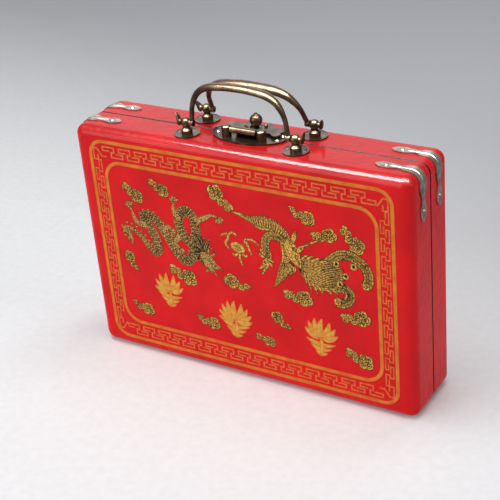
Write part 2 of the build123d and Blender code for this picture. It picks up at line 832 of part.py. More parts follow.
def make_hasp():
    """Bat-winged hasp: rolled barrel, a neck that steps down, and a scalloped forked plate."""
    barrel_half = latch_post_x - latch_post_radius - hasp_side_clearance
    middle = hasp_plate_bottom + hasp_sheet / 2
    neck_top = latch_pin_height + hasp_barrel_radius - hasp_sheet / 2
    barrel_y = -latch_post_y
    fork = hasp_fork_half_width
    profile_plane = Plane(origin=(-barrel_half, 0, top), x_dir=(0, 1, 0), z_dir=(1, 0, 0))
    with BuildPart() as hasp:
        with BuildSketch(profile_plane):
            with BuildLine():
                Spline(
                    (barrel_y, neck_top),
                    (barrel_y + 5.0, (neck_top + middle) / 2 + 0.9),
                    (hasp_neck_landing, middle),
                    tangents=((1, 0), (1, 0)),
                )
            trace(line_width=hasp_sheet)
            with Locations((barrel_y, latch_pin_height)):
                Circle(hasp_barrel_radius)
        extrude(amount=2 * barrel_half)
        with BuildSketch(Plane.XY.offset(top + hasp_plate_bottom)):
            with BuildLine():
                for hand in (LEFT, RIGHT):
                    neck_end = (hand * barrel_half, hasp_neck_landing - 0.9)
                    notch = (hand * hasp_notch_x, hasp_notch_y)
                    wing = (hand * hasp_wing_x, hasp_wing_y)
                    lobe = (hand * hasp_lobe_x, hasp_lobe_y)
                    shoulder = (hand * hasp_shoulder_x, hasp_shoulder_y)
                    cusp = (hand * hasp_cusp_x, hasp_cusp_y)
                    prong = (hand * fork, hasp_prong_y)
                    Line((0, hasp_neck_landing - 0.9), neck_end)
                    ThreePointArc(neck_end, (hand * hasp_notch_bow_x, hasp_notch_bow_y), notch)
                    ThreePointArc(notch, (hand * hasp_wing_bow_x, hasp_wing_bow_y), wing)
                    ThreePointArc(wing, (hand * hasp_waist_x, hasp_waist_y), lobe)
                    ThreePointArc(lobe, (hand * hasp_lobe_bow_x, hasp_lobe_bow_y), shoulder)
                    ThreePointArc(shoulder, (hand * hasp_cusp_bow_x, hasp_cusp_bow_y), cusp)
                    ThreePointArc(cusp, (hand * hasp_prong_bow_x, hasp_prong_bow_y), prong)
                    Line(prong, (hand * fork, hasp_fork_root + fork))
                ThreePointArc(
                    (-fork, hasp_fork_root + fork), (0, hasp_fork_root), (fork, hasp_fork_root + fork)
                )
            make_face()
        extrude(amount=hasp_sheet)
        with BuildSketch(Plane(origin=(0, barrel_y, top + latch_pin_height), z_dir=(1, 0, 0))):
            Circle(latch_pin_radius + pin_running_clearance)
        extrude(amount=barrel_half, both=True, mode=Mode.SUBTRACT)
    return hasp.part


def make_turn_knob():
    """Ball-headed turn button on a stud, with two low ears that turn over the hasp's fork."""
    seat = latch_plate_thickness
    centre = (0, knob_y, top)
    neck_z = knob_ball_height - math.sqrt(knob_ball_radius**2 - knob_neck_radius**2)
    button_z = knob_ball_height + math.sqrt(knob_ball_radius**2 - knob_button_radius**2)
    with BuildPart() as knob:
        with BuildSketch(Plane(origin=centre, x_dir=(1, 0, 0), z_dir=(0, -1, 0))):
            with BuildLine():
                Polyline(
                    (knob_neck_radius, neck_z),
                    (knob_neck_radius, seat + knob_flange_height),
                    (knob_flange_radius, seat + knob_flange_height),
                    (knob_flange_radius, seat + 0.05),
                    (knob_stud_radius, seat + 0.05),
                    (knob_stud_radius, -knob_stud_depth),
                    (0, -knob_stud_depth),
                    (0, button_z + knob_button_height),
                    (knob_button_radius * 0.7, button_z + knob_button_height),
                    (knob_button_radius, button_z + knob_button_height * 0.4),
                    (knob_button_radius, button_z),
                )
                ThreePointArc(
                    (knob_button_radius, button_z),
                    (knob_ball_radius, knob_ball_height),
                    (knob_neck_radius, neck_z),
                )
            make_face()
        revolve(axis=Axis(centre, (0, 0, 1)))
        with BuildSketch(Plane.XY.offset(top + knob_ear_bottom)):
            with Locations(Location((0, knob_y), 90)):
                SlotOverall(2 * knob_ear_half_length, knob_ear_width)
        extrude(amount=knob_ear_height)
    return knob.part


# ---------------------------------------------------------------- build and write
for shell_side in (FRONT, REAR):
    save(make_shell(shell_side), f"{end_name(shell_side)}_shell")
    save(make_lining(shell_side), f"{end_name(shell_side)}_lining")
    save(make_nails(shell_side, make_nail()), f"{end_name(shell_side)}_nails")
    save(make_latch_plate(shell_side), f"latch_{end_name(shell_side)}_plate")
    for hand in (LEFT, RIGHT):
        where = f"{end_name(shell_side)}_{hand_name(hand)}"
        save(make_corner_bracket(shell_side, hand), f"corner_bracket_{where}")
        save(make_handle_rose(shell_side, hand), f"handle_rose_{where}")
        save(make_handle_post(shell_side, hand), f"handle_post_{where}")
        save(make_hinge_leaf(shell_side, hand), f"hinge_leaf_{where}")

for hand in (LEFT, RIGHT):
    save(make_hinge_pin(hand), f"hinge_pin_{hand_name(hand)}")
    save(make_cabinet_side(hand), f"cabinet_{hand_name(hand)}_side")
    save(make_latch_post(hand), f"latch_post_{hand_name(hand)}")

save(make_cabinet_board(cabinet_bottom_z, cabinet_board, bay_half_width), "cabinet_bottom")
save(make_cabinet_board(cabinet_top_z - cabinet_board, cabinet_board, bay_half_width), "cabinet_top")
save(make_cabinet_back(), "cabinet_back")
shelf_half_length = bay_half_width + shelf_groove_depth - shelf_groove_clearance
for number in range(drawer_count - 1):
    save(
        make_cabinet_board(shelf_z(number), shelf_board, shelf_half_length),
        f"cabinet_shelf_{number + 1}",
    )

for number in range(drawer_count):
    save(make_drawer_front(number), f"drawer_{number + 1}_front")
    save(make_drawer_tray(number), f"drawer_{number + 1}_tray")
    save(make_drawer_pull(number), f"drawer_{number + 1}_pull")

save(make_handle(FRONT, 0.0), "front_handle")
save(make_handle(REAR, rear_handle_lean), "rear_handle")
save(make_latch_pin(), "latch_pin")
save(make_hasp(), "hasp")
save(make_turn_knob(), "turn_knob")
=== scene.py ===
# %% [markdown]
# # A lacquered tile case
# The real object is a shallow wooden box in two halves, covered in leather cloth and lacquered a
# glossy red. A border, a dragon, a bird and clouds are stencilled on its faces in gold paint, and
# its fittings are antiqued brass. The solids come from a CAD frame, which stays as it is: this
# file gives them their finishes, and adds what is too fine for CAD.

# %% Load the frame
import math

import bmesh
import bpy
from mathutils import Matrix, Vector


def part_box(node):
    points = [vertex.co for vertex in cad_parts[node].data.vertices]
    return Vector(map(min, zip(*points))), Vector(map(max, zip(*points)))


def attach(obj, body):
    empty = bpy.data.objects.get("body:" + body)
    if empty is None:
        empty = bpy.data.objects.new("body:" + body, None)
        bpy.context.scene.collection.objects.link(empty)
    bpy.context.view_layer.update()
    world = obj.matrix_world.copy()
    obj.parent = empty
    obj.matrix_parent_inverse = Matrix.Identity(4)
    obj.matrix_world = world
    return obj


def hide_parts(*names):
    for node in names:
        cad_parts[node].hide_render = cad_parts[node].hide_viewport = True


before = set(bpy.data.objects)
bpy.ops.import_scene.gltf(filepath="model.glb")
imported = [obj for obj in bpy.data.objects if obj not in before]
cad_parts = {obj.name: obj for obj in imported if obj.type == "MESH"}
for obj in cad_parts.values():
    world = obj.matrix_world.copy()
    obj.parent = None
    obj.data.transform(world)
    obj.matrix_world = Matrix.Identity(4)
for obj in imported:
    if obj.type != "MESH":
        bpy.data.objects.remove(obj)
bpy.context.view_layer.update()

# %% [markdown]
# ## Sizes taken from the frame
# Blender works in metres, and the painted work is easier to think of in millimetres. So the
# sizes are read from the frame once, and one value turns millimetres into metres.

# %% Sizes
MM = 0.001
FRONT, REAR = "front", "rear"
SIDES = (FRONT, REAR)
face_y = {FRONT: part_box("front_shell")[0][1], REAR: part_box("rear_shell")[1][1]}
top_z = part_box("front_shell")[1][2]
print("Faces at", face_y, "top at", top_z)

# %% [markdown]
# ## Small helpers for materials
# Colours are written as the sRGB codes that a colour picker shows, and the shader wants linear
# light. Each pattern is measured in millimetres on the object's own coordinates, so that it stays
# on the piece when the lid turns.


# %% Helpers for materials
def linear(code):
    """An sRGB hex code as the linear colour that a shader socket takes."""
    parts = [int(code[start : start + 2], 16) / 255 for start in (1, 3, 5)]
    light = [part / 12.92 if part <= 0.04045 else ((part + 0.055) / 1.055) ** 2.4 for part in parts]
    return (*light, 1.0)


def add(tree, kind, inputs=None, **settings):
    """Adds a node. inputs gives sockets, by name or number, a value or another node's output."""
    node = tree.nodes.new(kind)
    for name, value in settings.items():
        setattr(node, name, value)
    for key, value in (inputs or {}).items():
        if isinstance(value, bpy.types.NodeSocket):
            tree.links.new(value, node.inputs[key])
        else:
            node.inputs[key].default_value = value
    return node


def start_material(name):
    """An empty material, and a coordinate on the piece that counts in millimetres."""
    material = bpy.data.materials.new(name)
    material.use_nodes = True
    tree = material.node_tree
    tree.nodes.clear()
    place = add(tree, "ShaderNodeTexCoord").outputs["Object"]
    scale = (1 / MM, 1 / MM, 1 / MM)
    counted = add(tree, "ShaderNodeMapping", {"Vector": place, "Scale": scale})
    return material, tree, counted.outputs[0]


def end_material(material, shader):
    tree = material.node_tree
    add(tree, "ShaderNodeOutputMaterial", {"Surface": shader.outputs[0]})
    print("Made the finish", material.name, "from", len(tree.nodes), "nodes")
    return material


# %% [markdown]
# ## Red lacquer over leather cloth
# Thin leather cloth is glued over the wood, painted red and lacquered. The colour drifts a little
# from place to place. Under the clear coat the cloth is never flat: slow waves from the glue bend
# the highlights, and a fine grain shows close up. So there are two bumps, one of each size. The
# coat gives the gloss, and the paint under it hardly shines by itself. About a millimetre off the
# seam the colour turns near black and the coat stops. That band is partly the dark, unlacquered
# edges where the halves meet, and partly painted shade for the gap between them. The scales and
# depths are in millimetres.


# %% Red lacquered leather
# How far off the seam the near-black band reaches, and how soft its border is: dark rims and
# painted shade of the gap.
black_rim_and_shade_reach, black_rim_and_shade_blur = 1.0, 0.1
drift_mm, wave_mm, grain_mm = 40, 7, 0.9
wave_depth, grain_depth = 0.7, 0.05
coat_amount = 0.22


def make_red_lacquer():
    material, tree, place = start_material("red_lacquered_leather")
    drift = add(tree, "ShaderNodeTexNoise", {"Vector": place, "Scale": 1 / drift_mm, "Detail": 4.0})
    tone = add(
        tree,
        "ShaderNodeMix",
        {0: drift.outputs[0], 6: linear("#a80109"), 7: linear("#e60a12")},
        data_type="RGBA",
    )
    depth = add(tree, "ShaderNodeSeparateXYZ", {0: place})
    off_seam = add(tree, "ShaderNodeMath", {0: depth.outputs["Y"]}, operation="ABSOLUTE")
    # The mask edge is 0 in the seam band, where the dark rims and the painted shade go, and 1
    # beyond it.
    edge = add(
        tree,
        "ShaderNodeMapRange",
        {
            "Value": off_seam.outputs[0],
            "From Min": black_rim_and_shade_reach - black_rim_and_shade_blur,
            "From Max": black_rim_and_shade_reach + black_rim_and_shade_blur,
        },
    )
    # Near black across the seam band: partly the dark rims where the halves meet, partly painted
    # shade for the gap between them.
    coloured = add(
        tree,
        "ShaderNodeMix",
        {0: edge.outputs[0], 6: linear("#140b0b"), 7: tone.outputs[2]},
        data_type="RGBA",
    )
    waves = add(tree, "ShaderNodeTexNoise", {"Vector": place, "Scale": 1 / wave_mm, "Detail": 3.0})
    grain = add(tree, "ShaderNodeTexNoise", {"Vector": place, "Scale": 1 / grain_mm, "Detail": 2.0})
    wavy = add(
        tree,
        "ShaderNodeBump",
        {"Height": waves.outputs[0], "Strength": 1.0, "Distance": wave_depth * MM},
    )
    grained = add(
        tree,
        "ShaderNodeBump",
        {
            "Height": grain.outputs[0],
            "Strength": 0.10,
            "Distance": grain_depth * MM,
            "Normal": wavy.outputs[0],
        },
    )
    rough = add(
        tree,
        "ShaderNodeMapRange",
        {"Value": drift.outputs[0], "To Min": 0.38, "To Max": 0.50},
    )
    coat = add(tree, "ShaderNodeMapRange", {"Value": edge.outputs[0], "To Max": coat_amount})
    shader = add(
        tree,
        "ShaderNodeBsdfPrincipled",
        {
            "Base Color": coloured.outputs[2],
            "Roughness": rough.outputs[0],
            "Specular IOR Level": 0.05,
            "Coat Weight": coat.outputs[0],
            "Coat Roughness": 0.08,
            "Normal": grained.outputs[0],
        },
    )
    return end_material(material, shader)


red_lacquer = make_red_lacquer()

# %% [markdown]
# ## Gold paint
# The gold is a bronze-powder paint, printed through a stencil. It is flatter than the lacquer
# beside it, and where the powder is thin the red shows through. The same recipe serves the
# lines, the border, the figures and their brown outlines, with other colours. The figures are
# also worked over with fine brown ink. The edges of a cell pattern give that: cells as small as a
# scale on the dragon, and wider ones on the bird and the clouds. ink_line_mm says how far from an
# edge the ink begins to fade and where it ends, so a line is as fine in a wide cell as in a small
# one. Between thin_cover and full_cover, two values of the noise, the paint's tone goes from one
# colour to the other.


# %% Gold paint
ink_line_mm = (0.09, 0.27)
thin_cover, full_cover = 0.35, 0.62
paint_roughness, powder_depth = 0.5, 0.05


def make_paint(name, thick, thin, metallic, speck_mm, ink_cell_mm=None):
    material, tree, place = start_material(name)
    patchy = add(
        tree, "ShaderNodeTexNoise", {"Vector": place, "Scale": 1 / speck_mm, "Detail": 4.0}
    )
    cover = add(
        tree,
        "ShaderNodeMapRange",
        {"Value": patchy.outputs[0], "From Min": thin_cover, "From Max": full_cover},
    )
    tone = add(
        tree,
        "ShaderNodeMix",
        {0: cover.outputs[0], 6: linear(thin), 7: linear(thick)},
        data_type="RGBA",
    )
    colour = tone.outputs[2]
    if ink_cell_mm:
        cells = add(
            tree,
            "ShaderNodeTexVoronoi",
            {"Vector": place, "Scale": 1 / ink_cell_mm, "Randomness": 0.8},
            feature="DISTANCE_TO_EDGE",
        )
        clear = add(
            tree,
            "ShaderNodeMapRange",
            {
                "Value": cells.outputs["Distance"],
                "From Min": ink_line_mm[0] / ink_cell_mm,
                "From Max": ink_line_mm[1] / ink_cell_mm,
            },
        )
        inked = add(
            tree,
            "ShaderNodeMix",
            {0: clear.outputs[0], 6: linear("#1d1206"), 7: colour},
            data_type="RGBA",
        )
        colour = inked.outputs[2]
    ridges = add(
        tree,
        "ShaderNodeBump",
        {"Height": patchy.outputs[0], "Strength": 0.3, "Distance": powder_depth * MM},
    )
    shader = add(
        tree,
        "ShaderNodeBsdfPrincipled",
        {
            "Base Color": colour,
            "Metallic": metallic,
            "Roughness": paint_roughness,
            "Specular IOR Level": 0.1,
            "Normal": ridges.outputs[0],
        },
    )
    return end_material(material, shader)


line_gold = make_paint("gold_paint_lines", "#cb7a26", "#bd6222", metallic=0.10, speck_mm=9.0)
border_gold = make_paint("gold_paint_border", "#cc7434", "#bf5628", metallic=0.05, speck_mm=5.0)
figure_gold = make_paint(
    "gold_paint_figures", "#dcac50", "#c29040", metallic=0.10, speck_mm=3.0, ink_cell_mm=3.4
)
dragon_gold = make_paint(
    "gold_paint_dragon", "#cfa35a", "#b58a4a", metallic=0.10, speck_mm=3.0, ink_cell_mm=1.9
)
bold_gold = make_paint("gold_paint_ornaments", "#d2a040", "#c07e30", metallic=0.10, speck_mm=4.0)
outline_brown = make_paint(
    "brown_paint_outlines", "#1c130a", "#33240f", metallic=0.0, speck_mm=2.0
)

# %% [markdown]
# ## Antiqued brass
# Cast brass is dipped to turn it brown-black, and then rubbed, so that high places shine and
# hollows stay dark. The patina is a noise between a dark brown and a worn gold, and the roughness
# follows it: worn metal is smoother than the oxide.


# %% Antiqued brass and other metals
pit_mm, pit_depth = 0.7, 0.08


def make_metal(name, dark, worn, worn_from, worn_to, patch_mm, rough_worn, rough_dark):
    material, tree, place = start_material(name)
    patina = add(
        tree, "ShaderNodeTexNoise", {"Vector": place, "Scale": 1 / patch_mm, "Detail": 5.0}
    )
    wear = add(
        tree,
        "ShaderNodeMapRange",
        {"Value": patina.outputs[0], "From Min": worn_from, "From Max": worn_to},
    )
    tone = add(
        tree,
        "ShaderNodeMix",
        {0: wear.outputs[0], 6: linear(dark), 7: linear(worn)},
        data_type="RGBA",
    )
    rough = add(
        tree,
        "ShaderNodeMapRange",
        {"Value": wear.outputs[0], "To Min": rough_dark, "To Max": rough_worn},
    )
    pits = add(tree, "ShaderNodeTexNoise", {"Vector": place, "Scale": 1 / pit_mm, "Detail": 2.0})
    pitted = add(
        tree,
        "ShaderNodeBump",
        {"Height": pits.outputs[0], "Strength": 0.25, "Distance": pit_depth * MM},
    )
    shader = add(
        tree,
        "ShaderNodeBsdfPrincipled",
        {
            "Base Color": tone.outputs[2],
            "Metallic": 1.0,
            "Roughness": rough.outputs[0],
            "Normal": pitted.outputs[0],
        },
    )
    return end_material(material, shader)


METALS = (  # name, dark, worn, worn from, worn to, patch in mm, roughness when worn and when dark
    ("antiqued_brass", "#362b22", "#634f3d", 0.38, 0.76, 9.0, 0.24, 0.36),
    ("dark_bronze_plate", "#5c534c", "#9c8f86", 0.36, 0.68, 7.0, 0.26, 0.38),
    ("rubbed_brass_nails", "#8a744a", "#d8c294", 0.30, 0.60, 2.0, 0.22, 0.36),
    ("brass_washed_steel", "#7d7460", "#b8ad94", 0.35, 0.65, 6.0, 0.28, 0.40),
)
antique_brass, dark_bronze, bright_brass, hinge_steel = (make_metal(*metal) for metal in METALS)

# %% [markdown]
# ## Wood of the cabinet
# Straight-grained wood is a stack of rings cut along the trunk. Stretching a noise along the
# board gives the long streaks, and a finer one of the same stretch gives the pores.


# %% Stained wood
X_AXIS, Z_AXIS = 0, 2
streak_stretch, pore_depth = 18, 0.12


def make_wood(name, dark, light, grain_mm, along, roughness):
    material, tree, place = start_material(name)
    squeeze = [1 / grain_mm] * 3
    squeeze[along] = 1 / (grain_mm * streak_stretch)
    fibre = add(tree, "ShaderNodeMapping", {"Vector": place, "Scale": squeeze})
    streaks = add(
        tree,
        "ShaderNodeTexNoise",
        {"Vector": fibre.outputs[0], "Scale": 1.0, "Detail": 5.0, "Distortion": 0.6},
    )
    pores = add(
        tree, "ShaderNodeTexNoise", {"Vector": fibre.outputs[0], "Scale": 6.0, "Detail": 2.0}
    )
    ring = add(
        tree,
        "ShaderNodeMapRange",
        {"Value": streaks.outputs[0], "From Min": 0.3, "From Max": 0.7},
    )
    tone = add(
        tree,
        "ShaderNodeMix",
        {0: ring.outputs[0], 6: linear(dark), 7: linear(light)},
        data_type="RGBA",
    )
    open_grain = add(
        tree,
        "ShaderNodeBump",
        {"Height": pores.outputs[0], "Strength": 0.3, "Distance": pore_depth * MM},
    )
    shader = add(
        tree,
        "ShaderNodeBsdfPrincipled",
        {
            "Base Color": tone.outputs[2],
            "Roughness": roughness,
            "Coat Weight": 0.2,
            "Coat Roughness": 0.3,
            "Normal": open_grain.outputs[0],
        },
    )
    return end_material(material, shader)


cabinet_wood = make_wood("stained_cabinet_wood", "#4e2410", "#7d4420", 2.2, X_AXIS, 0.45)
upright_wood = make_wood("stained_upright_wood", "#4e2410", "#7d4420", 2.2, Z_AXIS, 0.45)
front_wood = make_wood("stained_drawer_fronts", "#3d160a", "#6e2f16", 2.6, X_AXIS, 0.38)
tray_wood = make_wood("planed_tray_wood", "#a87a48", "#c89b66", 1.8, X_AXIS, 0.6)

# %% [markdown]
# ## Flannelette lining
# The inside is lined with black brushed cotton. Its nap is the main thing to see: a soft edge
# glow, which is the shader's sheen, and short tufts, which are a fine noise.


# %% Lining cloth
nap_mm, tuft_depth = 0.8, 0.3


def make_lining_cloth():
    material, tree, place = start_material("black_flannelette")
    nap = add(tree, "ShaderNodeTexNoise", {"Vector": place, "Scale": 1 / nap_mm, "Detail": 4.0})
    tone = add(
        tree,
        "ShaderNodeMix",
        {0: nap.outputs[0], 6: linear("#0d0b0c"), 7: linear("#2c2728")},
        data_type="RGBA",
    )
    tufts = add(
        tree,
        "ShaderNodeBump",
        {"Height": nap.outputs[0], "Strength": 0.6, "Distance": tuft_depth * MM},
    )
    shader = add(
        tree,
        "ShaderNodeBsdfPrincipled",
        {
            "Base Color": tone.outputs[2],
            "Roughness": 0.95,
            "Sheen Weight": 0.4,
            "Sheen Roughness": 0.5,
            "Normal": tufts.outputs[0],
        },
    )
    return end_material(material, shader)


lining_cloth = make_lining_cloth()


# %% [markdown]
# ## Finishes of the CAD pieces
# Every solid keeps its CAD shape and gets the finish of what it is made of. The first word in the
# list that a piece's name contains decides, and the empty word at its end takes what is left.

# %% Finishes of the CAD pieces
FINISHES = (
    ("shell", red_lacquer),
    ("lining", lining_cloth),
    ("nails", dark_bronze),
    ("bracket", dark_bronze),
    ("hinge", hinge_steel),
    ("pull", bright_brass),
    ("tray", tray_wood),
    ("side", upright_wood),
    ("cabinet", cabinet_wood),
    ("drawer", front_wood),
    ("", antique_brass),
)
for name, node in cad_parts.items():
    finish = next(material for word, material in FINISHES if word in name)
    node.data.materials.clear()
    node.data.materials.append(finish)
print("Finished", len(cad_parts), "CAD pieces")


# %% [markdown]
# ## Painting on the faces
# Everything painted is a stroke: a line through a few points, with a width that may change along
# it. A feather, a claw or a petal is a stroke that swells and ends in a point. Each stroke
# becomes a thin slab of paint lying on the face, and later strokes lie a little higher, as wet
# layers do.


# %% Strokes
def smooth(points, spans=6, closed=False):
    """A smooth line through the points, as a Catmull-Rom spline with this many steps a span."""
    count = len(points)
    line = []
    for index in range(count if closed else count - 1):
        if closed:
            near = [points[(index + shift) % count] for shift in (-1, 0, 1, 2)]
        else:
            near = [points[min(max(index + shift, 0), count - 1)] for shift in (-1, 0, 1, 2)]
        for step in range(spans):
            t = step / spans
            weights = (
                (-t + 2 * t**2 - t**3) / 2,
                (2 - 5 * t**2 + 3 * t**3) / 2,
                (t + 4 * t**2 - 3 * t**3) / 2,
                (-(t**2) + t**3) / 2,
            )
            line.append(tuple(sum(w * p[axis] for w, p in zip(weights, near)) for axis in (0, 1)))
    if not closed:
        line.append(tuple(points[-1]))
    return line


def leaf_width(t):
    """How wide a leaf is at a share t of its way. The three below do the same for other strokes."""
    return math.sin(math.pi * t**0.8) ** 0.8 if 0 < t < 1 else 0.0


def disc_width(t):
    return math.sqrt(max(0.0, 1 - (2 * t - 1) ** 2))


def even_width(t):
    return 1.0


def taper_width(t):
    return 1.0 - 0.85 * t


class Painting:
    """Strokes in millimetres on a face, x across and z up, each a little higher than the last.

    A row of a stroke is (x, z, width, height). Gold strokes get a dark edge under them, and ink
    strokes are dark lines on top.
    """

    step = 0.0008
    edge = 0.36

    def __init__(self, lift):
        self.height = lift
        self.gold = []
        self.dark = []

    def rows(self, line, width, shape, climb=0.0):
        count = len(line) - 1
        return [
            (x, z, width * shape(i / count), self.height + climb * i / count)
            for i, (x, z) in enumerate(line)
        ]

    def stroke(self, line, width, shape=even_width, climb=0.0):
        """A gold stroke. climb lets a long one that crosses itself rise along its way."""
        rows = self.rows(line, width, shape, climb)
        self.dark.append((rows, self.edge))
        self.gold.append(([(x, z, w, h + self.step / 2) for x, z, w, h in rows], 0.0))
        self.height += self.step + climb

    def ink(self, line, width=0.5, shape=even_width):
        self.dark.append((self.rows(line, width, shape), 0.0))
        self.height += self.step

    def leaf(self, base, tip, width, bend=0.0, steps=7, shape=leaf_width, quill=0.0):
        """A pointed shape from base to tip. bend pushes its middle sideways, in millimetres."""
        dx, dz = tip[0] - base[0], tip[1] - base[1]
        length = math.hypot(dx, dz)
        across = (-dz / length, dx / length)
        line = []
        for step in range(steps + 1):
            t = step / steps
            push = 4 * bend * t * (1 - t)
            x, z = base[0] + dx * t + across[0] * push, base[1] + dz * t + across[1] * push
            line.append((x, z))
        self.stroke(line, width, shape)
        if quill:
            self.ink(line[:-1], quill)

    def disc(self, centre, radius):
        x, z = centre
        self.leaf((x - radius, z), (x + radius, z), 2 * radius, shape=disc_width, steps=12)

    def curl(self, centre, radius, turns=1.35, start=0.0, hand=1, width=0.55):
        """A dark spiral line."""
        x, z = centre
        steps = 14
        line = []
        for step in range(steps + 1):
            angle = start + hand * turns * math.tau * step / steps
            reach = radius * (0.15 + 0.85 * step / steps)
            line.append((x + reach * math.cos(angle), z + reach * math.sin(angle)))
        self.ink(line, width)

    def fringe(self, line, half_width, every, length, lean, way, leaf):
        """Short pointed leaves along one edge of a line, such as fins or barbs.

        way is 1 for the left edge and -1 for the right one, and leaf is how wide a leaf is.
        """
        base = self.height
        for number, index in enumerate(range(every, len(line) - 1, every)):
            (dx, dz), (sx, sz) = along(line, index)
            x, z = line[index]
            root = (x + sx * half_width * way, z + sz * half_width * way)
            tip = (
                root[0] + sx * length * way - dx * lean,
                root[1] + sz * length * way - dz * lean,
            )
            self.height = base + self.step * (number % 3)
            self.leaf(root, tip, leaf, steps=4)
        self.height = base + 4 * self.step


def along(line, index):
    """Unit directions along a line and to its left, at one of its points."""
    ahead, behind = line[min(index + 1, len(line) - 1)], line[max(index - 1, 0)]
    dx, dz = ahead[0] - behind[0], ahead[1] - behind[1]
    length = math.hypot(dx, dz) or 1.0
    return (dx / length, dz / length), (-dz / length, dx / length)


# %% [markdown]
# A stroke's slab is a thin closed box that follows the line. The mesh is made by hand: two rows
# of points along the line, for the top, and the same rows again lower. A slab is thicker than the
# highest stroke stands over the face, so its underside is always inside the leather.


# %% Slabs of paint
slab_depth = 0.22
same_point = 1e-8


def place_on_face(side, x, z, lift):
    """A point of a face's painting, in metres. The rear is seen from behind, so x runs back."""
    if side == FRONT:
        return (x * MM, face_y[FRONT] - lift * MM, z * MM)
    return (-x * MM, face_y[REAR] + lift * MM, z * MM)


def slab_mesh(name, strokes, place):
    """One mesh of slabs. Each stroke is its rows and how much it is grown all round."""
    points, faces = [], []
    for rows, grow in strokes:
        line = [(x, z) for x, z, width, height in rows]
        last = len(line) - 1
        base = len(points)
        for index, (x, z, width, height) in enumerate(rows):
            (dx, dz), (sx, sz) = along(line, index)
            half = width / 2 + grow
            reach = grow * (1 if index == last else -1 if index == 0 else 0)
            cx, cz = x + dx * reach, z + dz * reach
            for level in (height, height - slab_depth):
                points.append(place(cx + sx * half, cz + sz * half, level))
                points.append(place(cx - sx * half, cz - sz * half, level))
        for index in range(last):
            a, b = base + 4 * index, base + 4 * index + 4
            faces.append((a, a + 1, b + 1, b))
            faces.append((a + 2, b + 2, b + 3, a + 3))
            faces.append((a, b, b + 2, a + 2))
            faces.append((a + 1, a + 3, b + 3, b + 1))
        end = base + 4 * last
        faces.append((base, base + 2, base + 3, base + 1))
        faces.append((end, end + 1, end + 3, end + 2))
    mesh = bpy.data.meshes.new(name)
    mesh.from_pydata(points, [], faces)
    shape = bmesh.new()
    shape.from_mesh(mesh)
    bmesh.ops.remove_doubles(shape, verts=shape.verts, dist=same_point)
    bmesh.ops.dissolve_degenerate(shape, edges=shape.edges, dist=same_point)
    bmesh.ops.recalc_face_normals(shape, faces=shape.faces)
    shape.to_mesh(mesh)
    shape.free()
    return mesh


def new_piece(name, mesh, body, material):
    """A finished mesh as an object that rides on a CAD body."""
    piece = bpy.data.objects.new(name, mesh)
    bpy.context.scene.collection.objects.link(piece)
    if not mesh.materials:
        mesh.materials.append(material)
    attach(piece, body)
    return piece


def paint(name, strokes, material):
    """The same strokes on both faces of the case, one mesh on each half."""
    for side in SIDES:
        piece_name = f"{side}_{name}"
        mesh = slab_mesh(piece_name, strokes, lambda x, z, h, s=side: place_on_face(s, x, z, h))
        new_piece(piece_name, mesh, f"{side}_case", material)
    print("Painted", name, "with", len(strokes), "strokes")


# %% [markdown]
# ## The double frame
# Two gold lines with rounded corners frame each face. A rounded rectangle is four quarter circles
# joined by straight runs, so a loop over the corners draws it. The lifts say how far each kind of
# paint starts above the leather, in millimetres, so that no two of them lie at the same height.


# %% The double frame
def rounded_rectangle(half_width, low, high, radius, steps=8):
    """Starts and ends in the middle of the right side, so that the ends meet squarely."""
    middle = (half_width, (low + high) / 2)
    line = [middle]
    for corner in range(4):
        cx = (half_width - radius) * (1 if corner in (0, 3) else -1)
        cz = high - radius if corner in (0, 1) else low + radius
        for step in range(steps + 1):
            angle = math.pi / 2 * (corner + step / steps)
            line.append((cx + radius * math.cos(angle), cz + radius * math.sin(angle)))
    return [*line, middle]


outer_half, outer_low, outer_high, outer_radius = 148.1, 11.2, 213.4, 14.0
inner_half, inner_low, inner_high, inner_radius = 134.0, 30.0, 194.6, 17.0
frame_line_width = 3.1
figure_lift, border_lift, corner_lift, frame_lift = 0.04, 0.05, 0.056, 0.08
frames = Painting(frame_lift)
frames.stroke(rounded_rectangle(outer_half, outer_low, outer_high, outer_radius), frame_line_width)
frames.stroke(rounded_rectangle(inner_half, inner_low, inner_high, inner_radius), frame_line_width)
paint("gold_frame", frames.gold, line_gold)

# %% [markdown]
# ## The meander border
# Between the lines runs a border of interlocking hooks. One hook is drawn once, and Geometry
# Nodes repeat it: the points say where a hook goes, and each carries how it is turned and sized.
# The same tree later repeats the dragon's scales, nails, screws and beads.


# %% Copies on points
def make_copies_tree():
    tree = bpy.data.node_groups.new("copies_on_points", "GeometryNodeTree")
    for name, kind in (("Points", "Geometry"), ("Motif", "Object"), ("Finish", "Material")):
        tree.interface.new_socket(name, in_out="INPUT", socket_type=f"NodeSocket{kind}")
    tree.interface.new_socket("Copies", in_out="OUTPUT", socket_type="NodeSocketGeometry")
    given = add(tree, "NodeGroupInput")
    motif = add(tree, "GeometryNodeObjectInfo", {"Object": given.outputs["Motif"]})
    turn = add(tree, "GeometryNodeInputNamedAttribute", {"Name": "turn"}, data_type="FLOAT_VECTOR")
    size = add(tree, "GeometryNodeInputNamedAttribute", {"Name": "size"}, data_type="FLOAT_VECTOR")
    placed = add(
        tree,
        "GeometryNodeInstanceOnPoints",
        {
            "Points": given.outputs["Points"],
            "Instance": motif.outputs["Geometry"],
            "Rotation": turn.outputs["Attribute"],
            "Scale": size.outputs["Attribute"],
        },
    )
    real = add(tree, "GeometryNodeRealizeInstances", {"Geometry": placed.outputs["Instances"]})
    finished = add(
        tree,
        "GeometryNodeSetMaterial",
        {"Geometry": real.outputs["Geometry"], "Material": given.outputs["Finish"]},
    )
    add(tree, "NodeGroupOutput", {"Copies": finished.outputs["Geometry"]})
    return tree


copies_tree = make_copies_tree()


